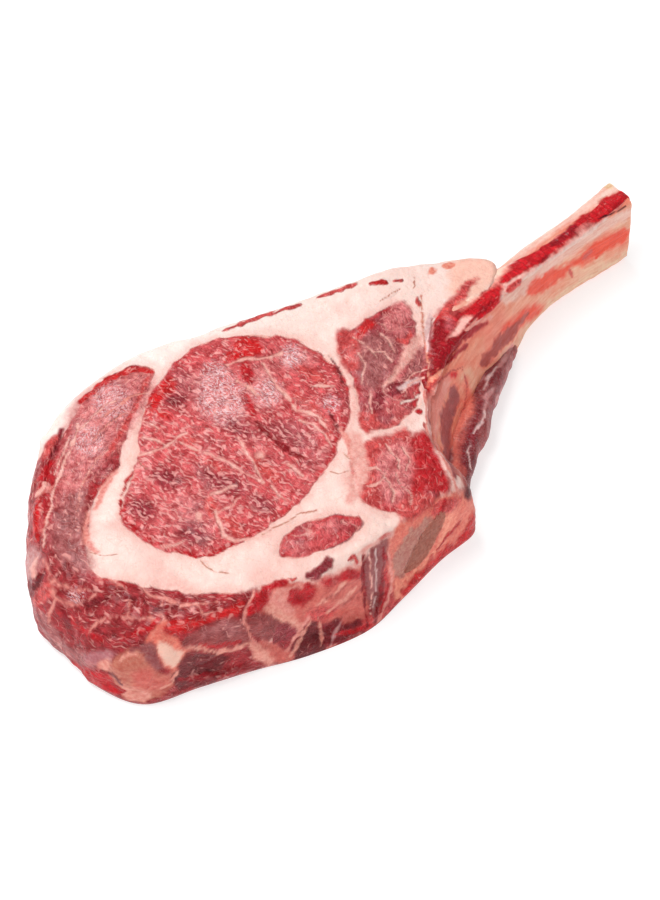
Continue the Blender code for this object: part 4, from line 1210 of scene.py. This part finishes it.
def rib_material():
    """Bone under its thin skin: the laid colours with streaks along it, and pores in the lean."""
    g = Graph("rib")
    flow = g.read("flow", "Vector")
    tint = g.read("tint", "Color")
    lean = g.read("lean", "Fac")
    streaks = g.ramp(g.noise(g.stretched(flow, (11.0, 1.7, 1.7)), 1.0, 4.0, 0.6), 0.3, 0.68)
    cloud = g.noise(flow, 6.0, 3.0, 0.6)
    colour = g.mix(1.0, tint, g.mix(streaks, (0.92, 0.66, 0.6, 1.0), (1.05, 1.04, 1.02, 1.0)),
                   "MULTIPLY")
    colour = g.mix(1.0, colour, g.mix(cloud, (0.94, 0.82, 0.78, 1.0), (1.04, 1.05, 1.04, 1.0)),
                   "MULTIPLY")
    holes = g.node("TexVoronoi", {"Vector": flow, "Scale": 1.0 / 1.3}).outputs["Distance"]
    dark = g.ramp(holes, 0.42, 0.2)
    web = g.ramp(g.noise(flow, 1.1, 2.0, 0.6), 0.52, 0.62)
    colour = g.mix(g.maths("MULTIPLY", dark, g.maths("MULTIPLY", lean, 0.15)), colour,
                   (*linear((120, 30, 34)), 1.0))
    colour = g.mix(g.maths("MULTIPLY", web, g.maths("MULTIPLY", lean, 0.1)), colour,
                   (*linear((244, 170, 176)), 1.0))
    height = g.maths("ADD", g.maths("MULTIPLY", streaks, 0.6), g.maths("MULTIPLY", g.noise(
        flow, 1.4, 3.0, 0.6), 0.5))
    height = g.maths("SUBTRACT", height, g.maths("MULTIPLY", dark, g.maths("MULTIPLY", lean, 0.5)))
    bump = g.node("Bump", {"Height": height, "Strength": 0.6, "Distance": 0.0008})
    g.shade({"Base Color": colour, "Roughness": 0.42, "Normal": bump.outputs[0],
             "Specular IOR Level": 0.15, "Coat Weight": 0.2, "Coat Roughness": 0.2,
             "Subsurface Weight": 0.1, "Subsurface Radius": (1.0, 0.5, 0.4),
             "Subsurface Scale": UNDER_SKIN})
    return g.material


def turned(points, degrees):
    """Flow coordinates: the grain's own axis along y, across it x, and the depth."""
    c, s = math.cos(math.radians(degrees)), math.sin(math.radians(degrees))
    return np.column_stack([points[:, 0] * c + points[:, 1] * s,
                            points[:, 1] * c - points[:, 0] * s, points[:, 2]])


def around(points, centre, scale):
    """Flow coordinates that run round a centre: radius across, angle times scale along."""
    x, y = points[:, 0] - centre[0], points[:, 1] - centre[1]
    return np.column_stack([np.hypot(x, y), scale * np.arctan2(y, -x), points[:, 2]])


def place(thing, node, slot, material):
    """Gives a piece its material and smooth shading, hangs it on root and hides the part it
    replaces.
    """
    thing.data.polygons.foreach_set("material_index", [0] * len(thing.data.polygons))
    thing.data.materials.clear()
    thing.data.materials.append(material)
    thing.data.shade_smooth()
    thing.data.set_sharp_from_angle(angle=math.radians(40.0))
    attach(thing, "root")
    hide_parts(node)


# How bright the lamps make each piece's sides and top: the laid colours are divided by it.
MEAT_LIGHT = (0.96, 1.15)
RIB_LIGHT = (0.68, 1.1)
STRIP_LIGHT = (0.7, 0.86)
FLANK_LIGHT = (0.7, 1.0)
CHINE_LIGHT = (0.84, 1.0)

# Sizes of flecks and bundles in fat and gristle: across the grain, along it and down.
WAX_FLECKS = (1.8, 4.6, 3.4)
WAX_BUNDLES = (2.4, 5.0, 3.4)

# Wet glints, painted into the colour as sheen: the middle as seen, the outer radius and the inner
# one.
EYE_GLINTS = ((222, 398, 34, 10), (268, 392, 20, 6), (214, 374, 18, 6), (292, 356, 16, 5),
              (331, 404, 13, 4))
CAP_GLINTS = ((112, 402, 26, 8), (88, 440, 22, 6), (76, 596, 12, 4))

COLUMN_FOOT = -10.0
COLUMN_TOP = 60.0
RIB_PATH = curve_rows(RIB, 6, closed=False)


def cut_pieces():
    """The visible pieces by name: the slab cut up by columns and tools, and the three lofts."""
    slab = solid("slab", *slab_mesh())
    rib = solid("rib", *closed_loft(rib_sections(), rib_relief))
    finger = solid("finger", *closed_loft(strip_sections(FINGER, 48, 2.6, FINGER_DEPTH),
                                          strip_relief))
    flank = solid("flank", *closed_loft(strip_sections(FLANK, 64, 2.4), strip_relief))
    plug = solid("plug", *chine_plug())
    columns = {}
    for name, outline in OUTLINES.items():
        top = LOWER_TOP if name == "lower" else COLUMN_TOP
        columns[name] = solid(name + "_column", *prism(outline, COLUMN_FOOT, top))

    pieces = {}
    for name, tools in (("eye", []), ("cap", []), ("rib_side", [rib, finger]),
                        ("chine_side", [rib, finger, plug]), ("inner", []), ("lower", [plug])):
        steps = [("INTERSECT", columns[name])] + [("DIFFERENCE", tool) for tool in tools]
        pieces[name] = carve(slab, name + "_visual", steps)
    cutters = list(columns.values()) + [rib, finger, plug, flank]
    pieces["fat"] = carve(slab, "fat_visual", [("DIFFERENCE", tool) for tool in cutters])
    pieces["rib"] = carve(rib, "rib_visual", [("DIFFERENCE", finger)])
    pieces["finger"] = carve(finger, "finger_visual", [])
    pieces["flank"] = carve(flank, "flank_visual", [("DIFFERENCE", rib)])
    pieces["chine"] = carve(slab, "chine_visual", [("INTERSECT", plug)])
    for tool in [slab, rib, finger, flank, plug] + list(columns.values()):
        bpy.data.objects.remove(tool, do_unlink=True)
    return pieces


def dress_eye(piece):
    """Eye muscle: red patches, veins, and small flecks that thicken towards the near left."""
    paint = Paint(piece, "eye", MEAT_LIGHT)
    paint.mottle("rose", 16.0, 21, 0.0, 0.7, 0.6)
    paint.mottle("maroon", 12.0, 22, 0.1, 0.7, 0.7)
    paint.spots()
    paint.fleck += ease(-30.0, 60.0, 30.0 - paint.points[:, 0] - paint.points[:, 1])
    paint.border("eye", None)
    paint.marks()
    # painted sheen at the eye muscle's glints
    paint.finish(turned(paint.points, 14.0), paint.glints(EYE_GLINTS, 0.85))
    place(piece, "eye_muscle", "eye_meat",
          meat_material("eye_meat", (1.35, 3.0, 2.4), 0.55, 0.04, (2.0, 4.4, 3.0), 0.1,
                        net_share=0.3, detail=1.2, fleck_rgb=(248, 176, 170)))


def dress_cap(piece):
    """Cap muscle: long bundles that run round the steak, with more flecks on the upper face."""
    paint = Paint(piece, "meat", MEAT_LIGHT)
    paint.fleck += 0.7 * ease(0.3, 0.8, paint.normals[:, 2])
    paint.mottle("plum", 14.0, 31, -0.1, 0.6, 0.8)
    paint.mottle("blood", 13.0, 32, 0.15, 0.7, 0.7)
    paint.spots()
    paint.veins("blush", 11.0, 33, 0.06, 0.6)
    paint.border("cap", None)
    paint.areas()
    paint.marks()
    # painted sheen at the cap muscle's glints
    paint.finish(around(paint.points, (-45.0, 20.0), 80.0), paint.glints(CAP_GLINTS, 0.7))
    place(piece, "cap_muscle", "cap_meat",
          meat_material("cap_meat", (1.6, 4.4, 3.0), 0.6, 0.04, (2.4, 6.5, 3.4), 0.06,
                        net_share=0.4, detail=1.0))


def dress_side_muscle(piece, name, base, seed, seams):
    """A smaller muscle of the upper face, on its own base colour, seeds and width of seams."""
    paint = Paint(piece, base, MEAT_LIGHT)
    paint.mottle("rose", 9.0, seed, 0.0, 0.6, 0.6)
    paint.mottle("coral", 12.0, seed + 1, 0.0, 0.6, 0.7)
    paint.mottle("maroon", 8.0, seed + 3, 0.1, 0.6, 0.6)
    paint.veins("pink", 8.0, seed + 2, 0.07, 0.6)
    paint.border(name, None)
    paint.areas()
    paint.marks()
    paint.finish(turned(paint.points, -30.0), 0.04)
    place(piece, name + "_muscle", "side_meat",
          meat_material(name + "_meat", (1.7, 4.2, 3.2), 0.6, 0.04, (2.8, 5.0, 3.8), seams,
                        net_share=0.5, detail=1.0))


def dress_lower(piece):
    """Meat low in the near wall."""
    paint = Paint(piece, "meat", MEAT_LIGHT)
    paint.mottle("maroon", 9.0, 71, 0.0, 0.6)
    paint.areas()
    paint.marks()
    paint.finish(turned(paint.points, -70.0), 0.05)
    place(piece, "lower_muscle", "wall_meat",
          meat_material("wall_meat", (1.8, 5.0, 3.4), 0.66, 0.0, (2.4, 5.0, 3.0), 0.04))


def dress_fat(piece):
    """Fat: cream above, tinted and patched with lean in the near wall, streaked at the back."""
    paint = Paint(piece, "cream", MEAT_LIGHT)
    x, y, up = paint.points[:, 0], paint.points[:, 1], paint.normals[:, 2]
    side = 1.0 - ease(0.35, 0.8, up)
    near = side * paint.facing * ease(30.0, -10.0, y) * ease(100.0, 60.0, x)
    paint.lay("blush", 0.75 * near)
    paint.mottle("white", 18.0, 81, 0.0, 0.7, 0.25)
    paint.mottle("pink", 15.0, 82, 0.2, 0.8, 0.55)
    paint.lay("coral", 0.9 * near * ease(0.05, 0.45, bumps(paint.points, 11.0, 83)))
    paint.lay("meat", 0.9 * near * ease(0.15, 0.4, bumps(paint.points, 13.0, 84)))
    gap = np.min([-within_outline(x, y, outline[::3]) for outline in OUTLINES.values()], axis=0)
    paint.lay("white", 0.1 * ease(4.0, 9.0, gap) * ease(0.7, 0.95, up))
    # painted highlight: the upper face is laid whiter towards the far edge, where the light blows
    # the fat out
    paint.lay("white", ease(0.0, 40.0, y - 40.0) * ease(0.3, 0.8, up))
    for name, colour in (("eye", "eye"), ("cap", "meat"), ("rib_side", "plum"),
                         ("chine_side", "coral"), ("inner", "plum")):
        paint.border(name, colour)
    hidden = side * (1.0 - paint.facing)
    level = paint.points * np.array([0.3, 0.3, 1.0])
    paint.lay("pink", 0.7 * hidden * ease(-0.3, 0.7, bumps(level, 9.0, 87)))
    streaks = bumps(level, 5.0, 85) + 0.5 * bumps(paint.points, 3.5, 86)
    paint.lay("rose", 0.7 * hidden * ease(0.25, 0.7, streaks))
    paint.lay("coral", 0.85 * hidden * ease(0.6, 0.85, streaks))
    paint.areas()
    paint.marks()
    paint.finish(turned(paint.points, 0.0), 0.05)
    place(piece, "seam_fat", "fat",
          meat_material("fat", WAX_FLECKS, 0.66, 0.0, WAX_BUNDLES, 0.04, wet=0.15))


def dress_rib(piece):
    """Rib: warm on the side that shows, white where it looks away or up."""
    paint = Paint(piece, "clay", RIB_LIGHT)
    paint.mottle("amber", 16.0, 91, -0.1, 0.6, 0.7)
    paint.mottle("peach", 12.0, 92, 0.0, 0.6, 0.7)
    outer = ease(6.0, 12.0, nearest_gap(paint.points, RIB_PATH))
    outer *= 1.0 - paint.facing * (1.0 - ease(0.4, 0.8, paint.normals[:, 2]))
    paint.lay("white", 0.9 * outer)
    level = paint.points * np.array([0.25, 0.6, 1.0])
    paint.lay("peach", 0.7 * outer * ease(-0.2, 0.7, bumps(level, 4.0, 93)))
    paint.lay("blush", 0.6 * outer * ease(0.35, 0.8, bumps(level, 3.0, 94)))
    paint.areas()
    paint.marks()
    paint.finish(along_rib(paint.points, RIB_PATH))
    place(piece, "rib_bone", "rib", rib_material())


def dress_finger(piece):
    """Strip of meat on the rib's upper edge, with pale edges towards the sawn tip."""
    paint = Paint(piece, "blood", STRIP_LIGHT)
    paint.mottle("deep", 9.0, 101, 0.0, 0.6)
    paint.mottle("pink", 10.0, 102, 0.25, 0.6, 0.35)
    bone_part = ease(112.0, 122.0, paint.points[:, 0])
    edge = abs(paint.normals[:, 2]) < 0.6
    paint.lay("blush", 0.7 * bone_part * edge)
    paint.areas()
    paint.spots()
    paint.marks()
    paint.finish(along_rib(paint.points, RIB_PATH))
    place(piece, "finger_meat", "strip_meat",
          meat_material("strip_meat", (5.5, 1.5, 2.0), 0.66, 0.0, (8.0, 2.4, 3.0), 0.05))


def dress_flank(piece):
    """Dark meat behind the foot of the rib, with pale mottling: its silver skin, and painted
    glints.
    """
    paint = Paint(piece, "dusk", FLANK_LIGHT)
    paint.mottle("claret", 8.0, 111, -0.1, 0.5, 0.8)
    # pale silver mottling: the silver skin, and painted glints on the wet meat
    paint.mottle("silver", 5.0, 112, 0.25, 0.6, 0.8)
    paint.areas()
    paint.marks()
    # painted sheen over the flank for its glints
    paint.finish(along_rib(paint.points, RIB_PATH), 0.2)
    place(piece, "flank_meat", "flank_meat",
          meat_material("flank_meat", (6.0, 2.0, 2.4), 0.66, 0.0, (7.0, 3.0, 3.4), 0.04))


def dress_chine(piece):
    """Sawn face of the vertebra."""
    paint = Paint(piece, "tan", CHINE_LIGHT)
    paint.areas()
    paint.marks()
    paint.finish(turned(paint.points, 0.0))
    place(piece, "chine_bone", "cut_bone",
          meat_material("cut_bone", WAX_FLECKS, 0.66, 0.0, WAX_BUNDLES, 0.04, wet=0.1))


def make_steak():
    """Cuts the pieces and dresses each of them."""
    pieces = cut_pieces()
    dress_eye(pieces["eye"])
    dress_cap(pieces["cap"])
    for name, base, seed, seams in (("rib_side", "plum", 41, 0.1),
                                    ("chine_side", "eye", 51, 0.16), ("inner", "eye", 61, 0.12)):
        dress_side_muscle(pieces[name], name, base, seed, seams)
    dress_lower(pieces["lower"])
    dress_fat(pieces["fat"])
    dress_rib(pieces["rib"])
    dress_finger(pieces["finger"])
    dress_flank(pieces["flank"])
    dress_chine(pieces["chine"])


def nearest_gap(points, path):
    """Distance in plan from each point to the rib's path."""
    best = np.full(len(points), np.inf)
    for x, y in path[:, :2]:
        best = np.minimum(best, np.hypot(points[:, 0] - x, points[:, 1] - y))
    return best


def along_rib(points, path):
    """Flow coordinates along the rib: the run of the nearest path point, then the offset."""
    run = np.concatenate([[0.0], np.cumsum(np.hypot(*np.diff(path[:, :2], axis=0).T))])
    side = path_side(path)
    best = np.full(len(points), np.inf)
    flow = np.zeros((len(points), 3))
    for (x, y), (sx, sy), at in zip(path[:, :2], side, run):
        dx, dy = points[:, 0] - x, points[:, 1] - y
        gap = np.hypot(dx, dy)
        closer = gap < best
        best = np.where(closer, gap, best)
        along = at - (dx * sy - dy * sx)
        flow[closer] = np.column_stack([along, dx * sx + dy * sy, points[:, 2]])[closer]
    return flow


def rib_relief(points, normals):
    """Height over the bone's smooth blade: long low swellings and small pits."""
    long_way = points * np.array([0.35, 1.0, 1.0])
    return (0.45 * bumps(long_way, 6.0, 131) + 0.25 * bumps(points, 4.0, 132)
            + 0.1 * bumps(points, 1.8, 133))


def strip_relief(points, normals):
    """Height over a strip of meat: bumps of two sizes."""
    return 0.5 * bumps(points, 7.0, 141) + 0.35 * bumps(points, 3.0, 142)


def area_light(name, direction, distance, size, power):
    """White lamp of some width and height, aimed at the origin from a direction."""
    data = bpy.data.lights.new(name, "AREA")
    data.shape = "RECTANGLE"
    data.size, data.size_y = size
    data.energy = power
    data.color = (1.0, 1.0, 1.0)
    lamp = bpy.data.objects.new(name, data)
    direction = np.array(direction) / np.linalg.norm(direction)
    lamp.location = direction * distance
    lamp.rotation_euler = Vector(direction).to_track_quat("Z", "Y").to_euler()
    bpy.context.scene.collection.objects.link(lamp)


FLOOR_HALF = 4.0                   # metres


def make_stage():
    """Near-white floor, pale surroundings, a broad key light and a soft box behind."""
    scene = bpy.context.scene
    scene.view_settings.view_transform = "Standard"
    scene.view_settings.look = "None"
    world = bpy.data.worlds.new("surroundings")
    world.use_nodes = True
    world.node_tree.nodes["Background"].inputs[0].default_value = (1.0, 0.99, 0.985, 1.0)
    world.node_tree.nodes["Background"].inputs[1].default_value = 0.3
    scene.world = world

    mesh = bpy.data.meshes.new("floor")
    half = FLOOR_HALF
    mesh.from_pydata([(-half, -half, 0), (half, -half, 0), (half, half, 0), (-half, half, 0)],
                     [], [(0, 1, 2, 3)])
    floor = bpy.data.objects.new("floor", mesh)
    scene.collection.objects.link(floor)
    g = Graph("floor")
    g.shade({"Base Color": (0.5, 0.5, 0.5, 1.0), "Roughness": 0.9,
             "Emission Color": (1.0, 1.0, 1.0, 1.0), "Emission Strength": 0.62})
    mesh.materials.append(g.material)

    area_light("key", (-0.35, 0.25, 1.0), 1.4, (0.8, 0.8), 14.0)
    area_light("behind", (0.1, 0.6, 0.8), 1.5, (0.5, 0.5), 6.0)
    area_light("front", (-0.35, -0.8, 0.6), 1.5, (0.8, 0.8), 5.5)

    camera = bpy.data.cameras.new("camera")
    camera.sensor_fit = "VERTICAL"
    camera.sensor_height = SENSOR
    camera.lens = SENSOR * PIXELS_PER_MM * DISTANCE / FRAME_HEIGHT
    camera.clip_start = 0.05
    viewer = bpy.data.objects.new("camera", camera)
    turn = np.column_stack([ACROSS, UPWARD, BACK])
    at = (TARGET + STEAK_AT + BACK * DISTANCE) * MM
    viewer.matrix_world = Matrix([[*turn[0], at[0]], [*turn[1], at[1]], [*turn[2], at[2]],
                                  [0, 0, 0, 1]])
    scene.collection.objects.link(viewer)
    scene.camera = viewer


make_steak()
make_stage()
